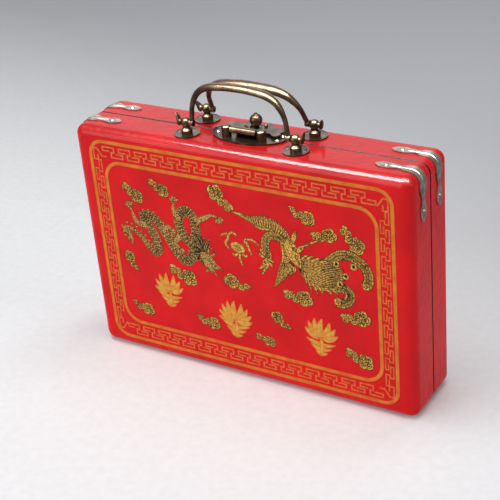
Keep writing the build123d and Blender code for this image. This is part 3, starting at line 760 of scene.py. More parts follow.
def copies(name, motif_mesh, places, body, material):
    """Copies of a mesh as one piece. places lists (position, turn in radians, size) in metres."""
    points = bpy.data.meshes.new(f"{name}_points")
    points.from_pydata([position for position, turn, size in places], [], [])
    for attribute, column in (("turn", 1), ("size", 2)):
        values = points.attributes.new(attribute, "FLOAT_VECTOR", "POINT")
        values.data.foreach_set("vector", [number for place in places for number in place[column]])
    carrier = bpy.data.objects.new(f"{name}_carrier", points)
    motif = bpy.data.objects.new(f"{name}_motif", motif_mesh)
    for helper in (carrier, motif):
        bpy.context.scene.collection.objects.link(helper)
    modifier = carrier.modifiers.new("copies", "NODES")
    modifier.node_group = copies_tree
    for item in copies_tree.interface.items_tree:
        if item.name == "Motif":
            modifier[item.identifier] = motif
        if item.name == "Finish":
            modifier[item.identifier] = material
    evaluated = carrier.evaluated_get(bpy.context.evaluated_depsgraph_get())
    mesh = bpy.data.meshes.new_from_object(evaluated)
    mesh.name = name
    for helper in (carrier, motif):
        bpy.data.objects.remove(helper)
    print("Copied", name, "to", len(places), "points")
    return new_piece(name, mesh, body, material)


def turned(side, angle):
    """The turn of a motif that is drawn in the XZ plane, facing -Y, by this angle on a face."""
    return (0.0, -angle, 0.0 if side == FRONT else math.pi)


# %% The meander border
hook_pitch, hook_height, hook_line = 17.6, 9.4, 1.25
HOOK = (
    (0.38, 0.62), (0.0, 0.62), (0.0, 1.0), (0.70, 1.0), (0.70, 0.5),
    (0.52, 0.5), (0.52, 0.0), (1.22, 0.0), (1.22, 0.38), (0.84, 0.38),
)  # fmt: skip


def straight_strokes(points, width, height):
    """A line with square corners, as one stroke a run, each run on to the corner's outer edge."""
    strokes = []
    for number, (start, end) in enumerate(zip(points, points[1:])):
        dx, dz = end[0] - start[0], end[1] - start[1]
        length = math.hypot(dx, dz)
        ex, ez = dx / length * width / 2, dz / length * width / 2
        lift = height + Painting.step * (number % 2)
        first = (start[0] - ex, start[1] - ez, width, lift)
        last = (end[0] + ex, end[1] + ez, width, lift)
        strokes.append(([first, last], 0.0))
    return strokes


middle_u, middle_v = 0.61, 0.5
hook_points = [((u - middle_u) * hook_pitch, (v - middle_v) * hook_height) for u, v in HOOK]


def flat_place(x, z, lift):
    """A point of a motif that is drawn once and then copied, in metres."""
    return (x * MM, -lift * MM, z * MM)


hook_mesh = slab_mesh(
    "meander_hook",
    straight_strokes(hook_points, hook_line, border_lift),
    flat_place,
)
band_x = (outer_half + inner_half) / 2
band_top = (outer_high + inner_high) / 2
band_low = (outer_low + inner_low) / 2
across_count, upright_count = 15, 10
NO_TURN, SAME_SIZE = (0.0, 0.0, 0.0), (1.0, 1.0, 1.0)
upright_size, upright_width = 0.92, 0.78


def meander_places(side):
    places = []
    for index in range(across_count):
        x = (index - (across_count - 1) / 2) * hook_pitch
        for z, angle in ((band_top, 0.0), (band_low, math.pi)):
            places.append((place_on_face(side, x, z, 0), turned(side, angle), SAME_SIZE))
    for index in range(upright_count):
        step = index - (upright_count - 1) / 2
        z = (band_top + band_low) / 2 + step * hook_pitch * upright_size
        for x, angle in ((-band_x, math.pi / 2), (band_x, -math.pi / 2)):
            size = (upright_size, 1.0, upright_width)
            places.append((place_on_face(side, x, z, 0), turned(side, angle), size))
    return places


for side in SIDES:
    places = meander_places(side)
    copies(f"{side}_meander", hook_mesh, places, f"{side}_case", border_gold)

# %% [markdown]
# At the corners the border needs a piece of its own: a short key that turns from the flat run to
# the upright one. It is drawn for one corner and mirrored to the other three.

# %% Border corners
corner_key = (
    (-9.6, -4.7), (-5.6, -4.7), (-0.6, 2.2), (3.4, 2.2), (3.4, -8.6), (-1.0, -8.6), (-1.0, -4.2),
)  # fmt: skip
corners = []
for flip_x in (1, -1):
    for flip_z, z_middle in ((1, band_top), (-1, band_low)):
        key = [(flip_x * (band_x + x), z_middle + flip_z * z) for x, z in corner_key]
        corners += straight_strokes(key, hook_line, corner_lift)
paint("meander_corners", corners, border_gold)

# %% [markdown]
# ## Clouds
# A cloud in this style is a row of round puffs that shrinks towards a tail, with a shorter row on
# top. Each puff carries a brown curl. The places and tilts follow the object, and the sizes come
# from a few rules, in shares of the cloud's length. The clouds lie apart, or nearly so, and each
# of them starts again at the lowest layer of paint.

# %% Clouds
def paint_figure(name, painting, gold, edge_material=outline_brown):
    """Puts a painting on both faces: its edges and ink as one piece, and its gold as another."""
    paint(f"{name}_edges", painting.dark, edge_material)
    paint(name, painting.gold, gold)


cloud_size = 1.18
curl_share, curl_turn, curl_line = 0.72, 1.9, 0.7


def cloud(x, z, length, tilt, puffs, hand):
    """A cloud with a row of puffs and a shorter row above it, and a tail at each end."""
    c, s = math.cos(tilt), math.sin(tilt)
    length *= cloud_size

    def at(u, v):
        return (x + length * (hand * u * c - v * s), z + length * (hand * u * s + v * c))

    sky.height = figure_lift
    sky.leaf(at(-0.2, -0.02), at(-0.47, 0.05), length * 0.18, bend=-0.05 * length * hand)
    sky.leaf(at(0.3, 0.0), at(0.50, -0.05), length * 0.14, bend=0.04 * length * hand)
    rows = [
        (0.36 - 0.66 * k / puffs, 0.05 * (-1) ** k, 0.150 - 0.055 * k / puffs)
        for k in range(puffs + 1)
    ]
    rows += [
        (0.28 - 0.5 * k / puffs, 0.20 - 0.02 * k, 0.125 - 0.018 * k)
        for k in range(max(2, puffs - 2))
    ]
    for u, v, r in rows:
        sky.disc(at(u, v), r * length)
    for number, (u, v, r) in enumerate(rows):
        way = 1 if number % 2 else -1
        reach = r * length * curl_share
        sky.curl(at(u, v), reach, start=number * curl_turn, hand=way, width=curl_line)


sky = Painting(figure_lift)
sky.edge = 0.6
CLOUDS = (  # middle in x and z, length, tilt, puffs, and the way it faces
    (-108.5, 168.0, 22, -0.75, 5, 1), (-78.8, 177.5, 20, -0.60, 5, 1),
    (-13.4, 177.5, 26, -0.65, 5, -1), (64.4, 176.8, 23, -0.45, 4, 1),
    (84.8, 161.3, 22, 0.10, 5, 1), (109.7, 163.4, 25, -0.95, 5, 1),
    (-119.0, 95.5, 19, -1.05, 4, -1), (-63.5, 93.1, 27, -0.45, 5, 1),
    (-3.8, 96.1, 24, -0.1, 4, -1), (55.6, 96.6, 26, -0.15, 5, 1),
    (-113.7, 47.6, 22, -0.35, 4, 1), (-40.7, 49.0, 22, -0.25, 4, 1),
    (37.5, 68.1, 19, -0.60, 4, -1), (110.4, 87.9, 25, 0.05, 5, 1),
    (111.5, 49.3, 25, -0.50, 5, 1), (19.2, 44.9, 18, -0.40, 3, 1),
)  # fmt: skip
for x, z, length, tilt, puffs, hand in CLOUDS:
    cloud(x, z, length, tilt, puffs, hand)
paint_figure("clouds", sky, figure_gold)


# %% [markdown]
# ## The dragon
# The body is one long stroke that loops twice. Fins stand along its back, clawed legs reach out
# of the loops, the tail ends in a tuft, and a mane of flames streams from the head. Each later
# stroke lies a little higher than the one before, so what is drawn last is in front: the legs over
# the body, and the head over the mane. The body climbs as it goes, so it crosses over itself.

# %% Dragon
dragon = Painting(figure_lift)
dragon_line = smooth(
    [
        (-121, 132), (-112, 130.5), (-103, 124), (-95.5, 115), (-89, 110.5), (-85.5, 116),
        (-88, 129), (-95, 140), (-98, 146), (-92, 148.5), (-83, 143), (-75, 131), (-67, 117.5),
        (-58, 109), (-50.5, 113), (-46, 125), (-43, 139), (-42.5, 152), (-49, 160.5),
        (-56.5, 158), (-60.5, 148), (-57, 136), (-49, 127), (-41, 121), (-34, 116),
    ],
    spans=7,
)  # fmt: skip
dragon_width = 8.8


def dragon_girth(t):
    """Thin at the tail, full in the middle and a little slimmer at the neck."""
    return min(1.0, 0.25 + 3.2 * t) * (1.0 - 0.15 * max(0.0, t - 0.85) / 0.15)


dragon_climb = 0.03
dragon.fringe(dragon_line, dragon_width * 0.38, 3, 2.6, 1.6, 1, leaf=2.2)
body_height = dragon.height
dragon.stroke(dragon_line, dragon_width, dragon_girth, dragon_climb)
dragon.height += dragon.step


leg_width, claw_reach, claw_width = 6.4, 6.8, 2.3
claw_spreads = (-0.9, -0.35, 0.2, 0.75)


def claw(centre, angle):
    """Four toes, spread round an angle in radians."""
    for spread in claw_spreads:
        toe = angle + spread
        tip = (centre[0] + claw_reach * math.cos(toe), centre[1] + claw_reach * math.sin(toe))
        dragon.leaf(centre, tip, claw_width, bend=0.9, steps=5)


DRAGON_LEGS = (  # the leg's line, and the angle of its claw
    ([(-42, 151), (-33, 156), (-25, 160.5), (-18, 160)], -1.2),
    ([(-59, 150), (-63.5, 156), (-64, 162), (-62.5, 166)], 1.5),
    ([(-96, 138), (-106, 138.5), (-110, 147), (-111.5, 153)], 1.9),
    ([(-79, 134), (-72, 141), (-70, 137)], -0.6),
    ([(-60, 134), (-66, 126), (-62, 121)], -1.4),
)  # fmt: skip
for points, angle in DRAGON_LEGS:
    dragon.stroke(smooth(points, 4), leg_width, taper_width)
    claw(points[-1], angle)

TAIL_TUFT = ((-126, 127), (-124, 121), (-119, 116), (-114.5, 113), (-125, 133))
for tip in TAIL_TUFT:
    dragon.leaf((-119, 131), tip, 3.2, bend=1.5)
MANE = (
    (-34, 138), (-30, 132), (-38, 141), (-43, 139), (-47, 134), (-50, 126), (-49, 119),
    (-46, 112), (-41, 107), (-27, 128), (-28, 137), (-45, 143),
)  # fmt: skip
for tip in MANE:
    shadow = [(-37, 122), ((tip[0] - 37) / 2 + 1, (tip[1] + 122) / 2 + 1), tip]
    dragon.ink(shadow, 3.4, taper_width)
    dragon.leaf((-36, 121), tip, 2.4, bend=1.4, quill=1.0)
DRAGON_HEAD = (  # skull, jaw, two horns, two whiskers, beard: base, tip, width, bend
    ((-40, 122), (-22, 107.5), 11.0, -1.0),
    ((-38, 116), (-29, 103), 7.0, 1.0),
    ((-34, 121), (-30, 130), 2.2, -1.2),
    ((-31, 119), (-25, 126), 2.2, -1.4),
    ((-26, 111), (-18, 106), 1.3, 1.6),
    ((-28, 108), (-23, 100), 1.3, -1.6),
    ((-33, 108), (-37, 102), 2.4, 0.8),
)
for base, tip, width, bend in DRAGON_HEAD:
    dragon.leaf(base, tip, width, bend)
dragon.curl((-31.5, 115.0), 1.7)
dragon.curl((-25.5, 110.3), 1.1)

# %% [markdown]
# ## The dragon's scales
# They are one small arc, repeated by the copies tree in staggered rows across the body. Drawing
# each of them as a stroke would cost far more lines. Each copy lies as high as the body is there,
# turns with it, and shrinks with it towards the tail.

# %% Dragon scales
scale_offsets, scale_stagger, scale_line = (-0.62, 0.0, 0.62), 0.5, 0.75
scale_arc = [(-0.5, 1.1), (0.35, 0.6), (0.6, 0.0), (0.35, -0.6), (-0.5, -1.1)]


def scale_places(side):
    count = len(dragon_line) - 1
    places = []
    for index in range(4, count - 2):
        (dx, dz), (sx, sz) = along(dragon_line, index)
        half = dragon_width * dragon_girth(index / count) / 2
        lift = body_height + dragon_climb * index / count
        for row in scale_offsets:
            shift = scale_stagger * (index % 2)
            x = dragon_line[index][0] + sx * half * row + dx * shift
            z = dragon_line[index][1] + sz * half * row + dz * shift
            size = half / (dragon_width / 2)
            where = place_on_face(side, x, z, lift)
            places.append((where, turned(side, math.atan2(dz, dx)), (size, 1.0, size)))
    return places


scale_mesh = slab_mesh(
    "dragon_scale",
    [([(x, z, scale_line, Painting.step) for x, z in scale_arc], 0.0)],
    flat_place,
)
for side in SIDES:
    piece_name, places = f"{side}_dragon_scales", scale_places(side)
    copies(piece_name, scale_mesh, places, f"{side}_case", outline_brown)
paint_figure("dragon", dragon, dragon_gold)

# %% [markdown]
# ## The flaming pearl
# Between the two animals hangs a pearl. It is an oval with a curl in it, and thin flames that
# lick out of it. A flame is a stroke that is widest in the middle and never quite thin, because
# the real ones end bluntly.

# %% Pearl
pearl = Painting(figure_lift)
pearl.leaf((-7.2, 136.0), (7.2, 132.5), 9.5, shape=disc_width, steps=12)
pearl.curl((-0.4, 134.3), 3.6, turns=2.0)
FLAMES = (
    [(-9, 131), (-12.5, 136), (-9.5, 141), (-10, 146), (-17, 143)],
    [(-9, 145), (-4, 148), (0, 145.5)],
    [(7, 139), (9, 144), (15, 144.5), (21.5, 140.5)],
    [(9, 143), (10.5, 137), (13.6, 129.5)],
    [(0, 129.5), (-3, 126), (-7, 127)],
    [(1.5, 129), (1, 124), (3, 117)],
    [(3, 129), (7, 126.5), (8.5, 128.5)],
)
for points in FLAMES:
    pearl.stroke(smooth(points, 4), 2.1, lambda t: 0.35 + 0.65 * leaf_width(t))
paint_figure("pearl", pearl, figure_gold)

# %% [markdown]
# ## The bird
# A feather is a leaf with a brown quill. A wing is a fan of them between two lines, and the tail
# is a sheaf of long feathers under two curling plumes. The plumes and the neck are strokes with a
# fringe of short leaves, and with ink lines for barbs. Each plume ends in a curled eye.

# %% Bird
bird = Painting(figure_lift)
bird.edge = 0.45
quill_line = 0.6


def point_at(line, share):
    """The point at a share of the way through a line's points."""
    spot = share * (len(line) - 1)
    index = min(int(spot), len(line) - 2)
    rest = spot - index
    return tuple(a + (b - a) * rest for a, b in zip(line[index], line[index + 1]))


def fan(roots, tips, count, width, bend):
    """Feathers between two lines: each goes from one line to the same share of the other."""
    for index in range(count):
        base, tip = (point_at(line, index / (count - 1)) for line in (roots, tips))
        bird.leaf(base, tip, width, bend, quill=quill_line)


def barbs(line, half, lean):
    """Short ink lines from a quill to both sides, in three heights so that neighbours differ."""
    height = bird.height
    for index in range(1, len(line) - 1):
        (dx, dz), (sx, sz) = along(line, index)
        x, z = line[index]
        bird.height = height + bird.step * (index % 3)
        for way in (1, -1):
            end = (x + sx * half * way - dx * lean, z + sz * half * way - dz * lean)
            bird.ink([(x, z), end], quill_line)
    bird.height = height + 4 * bird.step


upper_plume = smooth(
    [
        (60, 134), (76, 134), (85, 135.5), (91.5, 141.5), (99, 147), (107.5, 148.5),
        (114.5, 146), (121, 141.5), (124.5, 135), (125, 128), (122, 122.5),
    ],
    6,
)  # fmt: skip
lower_plume = smooth(
    [
        (84, 114), (95.5, 116), (103.5, 115.5), (107, 111), (105.5, 105), (99.5, 101.2),
        (94.8, 101.8),
    ],
    6,
)  # fmt: skip
plume_width = 4.6
for plume in (lower_plume, upper_plume):
    for way in (1, -1):
        bird.fringe(plume, 2.0, 1, 2.6, -1.6, way, leaf=1.5)
    bird.stroke(plume, plume_width)
    barbs(plume, plume_width / 2, -1.4)
    bird.ink(plume, quill_line)
for x, z in (upper_plume[-1], lower_plume[-1]):
    bird.disc((x, z), 3.2)
    bird.curl((x, z), 2.2, width=curl_line)

tail_roots, tail_count = [(59, 137), (60, 125)], 17
tail_tips = smooth([(96, 139), (102, 134), (104, 127.5), (101, 121), (96, 115)], 4)
for index in range(tail_count):
    share = index / (tail_count - 1)
    base, tip = point_at(tail_roots, share), point_at(tail_tips, share)
    bird.leaf(base, tip, 2.7, bend=-1.5 - 7.0 * share, steps=9, quill=quill_line)
TAIL_TUFTS = (
    ((62, 135), (70, 141)), ((66, 135), (75, 141)), ((71, 134.5), (81.5, 140.5)),
    ((78, 134.5), (88, 139.5)), ((64, 124), (66, 113)), ((66, 120), (70.5, 106)),
    ((70, 117), (76.5, 104)), ((75, 114), (82, 106)), ((82, 113), (90, 107.5)),
    ((88, 113.5), (96, 109)),
)  # fmt: skip
for base, tip in TAIL_TUFTS:
    bird.leaf(base, tip, 1.9, bend=0.8)
TAIL_EYES = ((95.6, 138.3), (103.8, 128.2), (111.5, 138.7), (98, 119.5))
for x, z in TAIL_EYES:
    bird.disc((x, z), 3.0)
    bird.curl((x, z), 1.2, width=1.4)

wing_inner = smooth(
    [
        (12, 163), (18, 160), (25.5, 157.5), (33, 158), (39, 155.5), (43, 149.6),
        (44.8, 142.5), (45, 135), (43.7, 129),
    ],
    5,
)  # fmt: skip
wing_outer = smooth(
    [
        (8, 167.5), (15, 167.5), (23, 170), (32.5, 170.5), (42, 167.5), (50, 161), (54, 154),
        (55, 145.5), (53, 135),
    ],
    5,
)  # fmt: skip
bird.leaf((20, 162.5), (-3.0, 168.5), 3.4, bend=-0.8)
low_wing_inner = [(45, 134), (50, 133), (55, 128)]
low_wing_outer = [(33.8, 102), (38, 106), (43, 111), (48, 116.5), (54, 121)]
fan(low_wing_inner, low_wing_outer, 13, 3.0, 0.8)
fan(wing_inner, wing_outer, 28, 3.2, -0.5)
bird.stroke(wing_inner[6:], 1.6)

bird_neck = smooth(
    [
        (51, 146), (45, 150.5), (40.3, 153), (33.5, 152.3), (28.8, 147), (28, 139.5),
        (29.8, 133.5), (28.4, 128),
    ],
    6,
)  # fmt: skip
for way in (-1, 1):
    bird.fringe(bird_neck, 1.8, 1, 2.2, 1.8, way, leaf=1.5)
bird.stroke(bird_neck, 4.8, lambda t: 1.0 - 0.3 * t)
barbs(bird_neck, 1.6, 1.4)
bird.leaf((50, 153), (62, 126.5), 12.5, bend=-1.0)
BIRD_HEAD_AND_CREST = (  # base, tip, width, bend
    ((28.5, 130), (25.0, 118), 6.6, 0.6),
    ((27.0, 122), (20.0, 117), 2.4, -0.8),
    ((26.0, 120.5), (22.0, 112.5), 2.2, 0.6),
    ((28.5, 127), (34.0, 121.5), 2.2, 0.8),
    ((29.0, 129), (35.5, 126.5), 2.0, 0.8),
    ((27.0, 130), (20.5, 134), 2.0, 0.8),
    ((27.5, 132), (22.5, 138.5), 2.0, 0.8),
    ((56.0, 150), (59.2, 161.5), 4.4, 0.6),
    ((63.0, 147), (83.0, 158.5), 1.6, 0.4),
    ((59.0, 141), (66.5, 149.5), 4.4, 0.4),
)
for base, tip, width, bend in BIRD_HEAD_AND_CREST:
    bird.leaf(base, tip, width, bend)
BODY_CURLS = (
    (26.3, 125.2, 1.4), (58.6, 158.8, 1.6), (53.2, 149.2, 2.4), (56.6, 143.2, 2.2),
    (57.6, 136.6, 2.4), (63.0, 145.6, 1.6), (59.8, 130.8, 1.8),
)  # fmt: skip
for x, z, radius in BODY_CURLS:
    bird.curl((x, z), radius, width=curl_line)
paint_figure("bird", bird, figure_gold)
print("Highest paint", max(dragon.height, bird.height), "mm")

# %% [markdown]
# ## Lotus ornaments
# Three bold ornaments stand under the animals, in flat gold with a lighter edge. Each is a
# stylised lotus: a fan of petals over a few brushed strokes.

# %% Lotus ornaments
ornaments = Painting(figure_lift)
ornaments.edge = 0.55


def lotus(x, z, size, petals, spread, lean):
    """Petals in a fan, three bowed strokes under it and a short stem. The shares are of size."""
    for index in range(petals):
        share = index / (petals - 1) - 0.5
        angle = math.pi / 2 + lean - share * spread
        length = size * (0.62 - 0.35 * share**2)
        base = (x + size * 0.04 * math.cos(angle), z)
        tip = (x + length * math.cos(angle), z + length * math.sin(angle))
        ornaments.leaf(base, tip, size * 0.17, bend=size * 0.05 * (-1 if share > 0 else 1))
    for drop, width, bow in ((0.10, 0.85, -0.10), (0.26, 0.60, -0.09), (0.42, 0.34, -0.06)):
        base = (x - size * width / 2, z - size * drop + size * 0.03)
        tip = (x + size * width / 2, z - size * drop - size * 0.03)
        ornaments.leaf(base, tip, size * 0.12, bend=size * bow)
    ornaments.leaf((x, z), (x - size * 0.03, z - size * 0.55), size * 0.09, bend=size * 0.03)


lotus(-79.6, 72.5, size=30, petals=7, spread=2.6, lean=0.10)
lotus(-10.0, 58.0, size=32, petals=9, spread=3.0, lean=0.0)
lotus(76.5, 61.0, size=32, petals=7, spread=2.3, lean=-0.10)
paint_figure("ornaments", ornaments, bold_gold, border_gold)

# %% [markdown]
# ## Handles
# Each handle is one brass casting: two legs, a swelling grip, and feet that turn in the balls of
# the posts. A sweep suits it: an ellipse that changes its size as it goes along the arch. The
# same function makes the leaf tips outside the balls. These pieces stand for the CAD handles,
# whose grip is made of flat spans.


# %% Sweep
def sweep(line, normal, wide, thick, sides=20):
    """Points and faces of a tube along a line of vectors in millimetres.

    wide and thick give the half sizes at a share of the way, along the normal and across it.
    """
    last = len(line) - 1
    points, faces = [], []
    for index, centre in enumerate(line):
        ahead = (line[min(index + 1, last)] - line[max(index - 1, 0)]).normalized()
        across = ahead.cross(normal).normalized()
        share = index / last
        for side in range(sides):
            angle = math.tau * side / sides
            sideways = normal * wide(share) * math.cos(angle)
            outwards = across * thick(share) * math.sin(angle)
            points.append((centre + sideways + outwards) * MM)
    for index in range(last):
        for side in range(sides):
            a, b = index * sides + side, index * sides + (side + 1) % sides
            faces.append((a, b, b + sides, a + sides))
    faces.append(tuple(range(sides)))
    faces.append(tuple(range(last * sides, (last + 1) * sides)))
    return points, faces


weld_distance, sharp_angle = 1e-6, math.radians(40)


def joined_mesh(name, shapes):
    """Closed shapes in one mesh, with faces outwards and a smooth look except at sharp edges."""
    mesh = bpy.data.meshes.new(name)
    points, faces = [], []
    for shape_points, shape_faces in shapes:
        faces += [tuple(index + len(points) for index in face) for face in shape_faces]
        points += shape_points
    mesh.from_pydata(points, [], faces)
    shape = bmesh.new()
    shape.from_mesh(mesh)
    bmesh.ops.remove_doubles(shape, verts=shape.verts, dist=weld_distance)
    bmesh.ops.recalc_face_normals(shape, faces=shape.faces)
    shape.to_mesh(mesh)
    shape.free()
    mesh.shade_smooth()
    mesh.set_sharp_from_angle(angle=sharp_angle)
    return mesh


# %% Handles
leg_half, grip_half_width, grip_half_thickness = 2.1, 4.5, 3.3
swell_start, swell_end = 0.10, 0.40
pivot_drop = 4.4
boss_radius, boss_length, pin_radius = 2.9, 3.8, 1.6
end_boss_radius, end_boss_length = boss_radius - 0.3, 2.0
ball_clearance = 4.1
tip_half_width, tip_half_thickness = 3.4, 1.7
TIP = ((1.9, -2.8), (2.5, 0.0), (3.5, 3.0), (5.0, 7.6))
handle_lean = {FRONT: 0.0, REAR: math.radians(25.0)}
ARCH = (
    (47.3, 0.0), (46.4, 7.0), (45.7, 13.5), (44.1, 19.0), (41.4, 24.5), (37.0, 29.9),
    (30.9, 33.6), (23.5, 35.7), (10.0, 37.2), (0.0, 37.4),
)  # fmt: skip
arch_line = smooth([*((-x, z) for x, z in ARCH), *ARCH[-2::-1]], 5)


def swell(share):
    """0 in the legs and 1 in the grip."""
    rise = (min(share, 1 - share) - swell_start) / (swell_end - swell_start)
    rise = max(0.0, min(1.0, rise))
    return rise * rise * (3 - 2 * rise)


def tip_swell(share):
    """Blunt at the foot of a leaf tip, full below its middle and thin at its point."""
    return leaf_width(0.20 + 0.72 * share)


def make_handle(side):
    left, right = (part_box(f"handle_post_{side}_{hand}") for hand in ("left", "right"))
    post_x = (right[0][0] + right[1][0]) / 2 / MM
    pivot = Vector((0, (left[0][1] + left[1][1]) / 2, left[1][2])) / MM - Vector((0, 0, pivot_drop))
    lean = handle_lean[side]
    up = Vector((0, -math.sin(lean), math.cos(lean)))
    normal = Vector((0, math.cos(lean), math.sin(lean)))
    across = Vector((1, 0, 0))

    def at(x, z):
        return pivot + across * x + up * z

    def straight(start_x, end_x, radius):
        line = [at(start_x, 0), at((start_x + end_x) / 2, 0), at(end_x, 0)]
        return sweep(line, normal, lambda t: radius, lambda t: radius, 28)

    grip = sweep(
        [at(x, z) for x, z in arch_line],
        normal,
        lambda t: leg_half + swell(t) * (grip_half_width - leg_half),
        lambda t: leg_half + swell(t) * (grip_half_thickness - leg_half),
        28,
    )
    shapes = [grip]
    for hand in (-1, 1):
        inner, outer = post_x - ball_clearance - boss_length, post_x + ball_clearance
        shapes.append(straight(hand * inner, hand * (post_x - ball_clearance), boss_radius))
        shapes.append(straight(hand * inner, hand * (outer + 1), pin_radius))
        shapes.append(straight(hand * outer, hand * (outer + end_boss_length), end_boss_radius))
        tip = smooth([(outer + x, z) for x, z in TIP], 5)
        shapes.append(
            sweep(
                [at(hand * x, z) for x, z in tip],
                normal,
                lambda t: tip_half_width * tip_swell(t),
                lambda t: tip_half_thickness * tip_swell(t),
            )
        )
    mesh = joined_mesh(f"{side}_handle_cast", shapes)
    piece = new_piece(f"{side}_handle_cast", mesh, f"{side}_handle", antique_brass)
    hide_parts(f"{side}_handle")
    print("Made the", side, "handle with", len(mesh.polygons), "faces")


for side in SIDES:
    make_handle(side)

# %% [markdown]
# ## Turn knob
# The knob is turned from one bar: a ball with a small button on top, on a stud. Two low ears
# reach over the hasp's fork. A profile spun round its axis makes the ball.


# %% Turn knob
def turned_shape(profile, centre, sides=40):
    """Points and faces of a profile of (radius, height) pairs in millimetres, spun about Z."""
    points, faces = [], []
    for radius, height in profile:
        for side in range(sides):
            angle = math.tau * side / sides
            offset = Vector((radius * math.cos(angle), radius * math.sin(angle), height))
            points.append((centre + offset) * MM)
    for row in range(len(profile) - 1):
        for side in range(sides):
            a, b = row * sides + side, row * sides + (side + 1) % sides
            faces.append((a, b, b + sides, a + sides))
    faces.append(tuple(range(sides)))
    faces.append(tuple(range((len(profile) - 1) * sides, len(profile) * sides)))
    return points, faces


def ball_profile(radius, height, low, high, steps=14):
    """Part of a circle, from one angle above or below its middle to another, in degrees."""
    angles = [math.radians(low + (high - low) * step / steps) for step in range(steps + 1)]
    return [(radius * math.cos(a), height + radius * math.sin(a)) for a in angles]


knob_low, knob_high = (Vector(corner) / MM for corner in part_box("turn_knob"))
knob_centre = (knob_low + knob_high) / 2
knob_centre.z = top_z / MM
knob_radius, knob_height = 5.6, 9.5
knob_profile = [
    (2.0, -4.0), (2.0, 1.25), (3.8, 1.25), (3.8, 2.2), (2.6, 2.6), (2.6, 4.6),
    *ball_profile(knob_radius, knob_height, -58, 72),
    (1.5, 15.1), (1.5, 15.7), (0.9, 16.0),
]  # fmt: skip
ear_height, ear_half_width, ear_half_thickness = 5.3, 1.5, 0.95
ears = sweep(
    [knob_centre + Vector((0, y, ear_height)) for y in (-5.6, -5.2, -4, 0, 4, 5.2, 5.6)],
    Vector((1, 0, 0)),
    lambda t: ear_half_width * (1 - (2 * t - 1) ** 6) + 0.05,
    lambda t: ear_half_thickness,
)
knob_mesh = joined_mesh("turn_knob_turned", [turned_shape(knob_profile, knob_centre), ears])
knob = new_piece("turn_knob_turned", knob_mesh, "turn_knob", antique_brass)
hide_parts("turn_knob")
print("Made the turn knob with", len(knob_mesh.polygons), "faces")

# %% [markdown]
# ## Small fittings
# What is too fine for CAD sits on the CAD pieces: two flat nails in each rose, slotted screws in
# the hinge leaves, three beads on the hasp, and the ridge pressed along each corner bracket.
# Nails, screws and beads are copies of one small shape each, put on points by the copies tree.

# %% Nails in the roses
ORIGIN = Vector((0, 0, 0))
nail_profile = [(1.25, 0.0), (1.2, 0.22), (0.8, 0.4), (0.05, 0.46)]
nail_mesh = joined_mesh("rose_nail", [turned_shape(nail_profile, ORIGIN, 16)])
rose_nail_reach, rose_dish = 8.0, 0.9
for side in SIDES:
    places = []
    for hand in ("left", "right"):
        low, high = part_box(f"handle_rose_{side}_{hand}")
        for way in (-1, 1):
            x = (low[0] + high[0]) / 2 + way * rose_nail_reach * MM
            places.append(((x, (low[1] + high[1]) / 2, top_z + rose_dish * MM), NO_TURN, SAME_SIZE))
    copies(f"{side}_rose_nails", nail_mesh, places, f"{side}_case", dark_bronze)

# %% Screws in the hinges
screw_radius, screw_height, slot_half = 1.7, 0.25, 0.25


def half_head(way, steps=10):
    """One half of a slotted head, in millimetres, facing down."""
    start = math.asin(slot_half / screw_radius)
    angles = [start + (math.pi - 2 * start) * step / steps for step in range(steps + 1)]
    rim = [(screw_radius * math.cos(a), way * screw_radius * math.sin(a)) for a in angles]
    points = [Vector((x, y, z)) * MM for z in (0.05, -screw_height) for x, y in rim]
    count = len(rim)
    faces = [tuple(range(count)), tuple(range(count, 2 * count))]
    faces += [(i, (i + 1) % count, count + (i + 1) % count, count + i) for i in range(count)]
    return points, faces


slot_profile = [(screw_radius - 0.05, 0.06), (screw_radius - 0.05, -0.08)]
slot_floor = turned_shape(slot_profile, ORIGIN, 16)
screw_mesh = joined_mesh("hinge_screw", [half_head(1), half_head(-1), slot_floor])
screw_spread, screw_setback = 15.0, 9.5
knuckle_reach = 6
slot_turn, slot_turn_between = 0.2, 0.4
for side in SIDES:
    places = []
    for hand in ("left", "right"):
        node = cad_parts[f"hinge_leaf_{side}_{hand}"]
        corners_of_leaf = [v.co for v in node.data.vertices if abs(v.co.y) > knuckle_reach * MM]
        leaf_under = min(co.z for co in corners_of_leaf)
        low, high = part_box(f"hinge_leaf_{side}_{hand}")
        y = screw_setback * MM * (-1 if side == FRONT else 1)
        for number in (-1, 0, 1):
            x = (low[0] + high[0]) / 2 + number * screw_spread * MM
            turn = (0.0, 0.0, slot_turn_between * number + slot_turn)
            places.append(((x, y, leaf_under), turn, SAME_SIZE))
    copies(f"{side}_hinge_screws", screw_mesh, places, f"{side}_case", hinge_steel)
    print("Screws at height", round(leaf_under / MM, 2), "mm")

# %% Beads on the hasp
bead_profile = ball_profile(1.25, 0.6, -40, 85, 8)
bead_mesh = joined_mesh("hasp_bead", [turned_shape(bead_profile, ORIGIN, 20)])
hasp_height = 3.8
plate_top = top_z / MM + hasp_height
bead_places = [
    (Vector((x, y, plate_top)) * MM, NO_TURN, (size, size, size))
    for x, y, size in ((-9.0, 8.5, 1.0), (-6.6, 6.0, 0.8), (8.6, 12.5, 1.3))
]
copies("hasp_beads", bead_mesh, bead_places, "hasp", antique_brass)

# %% Ridges of the corner brackets
ridge_half_width, ridge_half_height, ridge_end = 1.5, 0.55, 0.05
bend_radius, bend_steps = 10.4, 8
ridge_reach_top, ridge_step = 27.0, 4


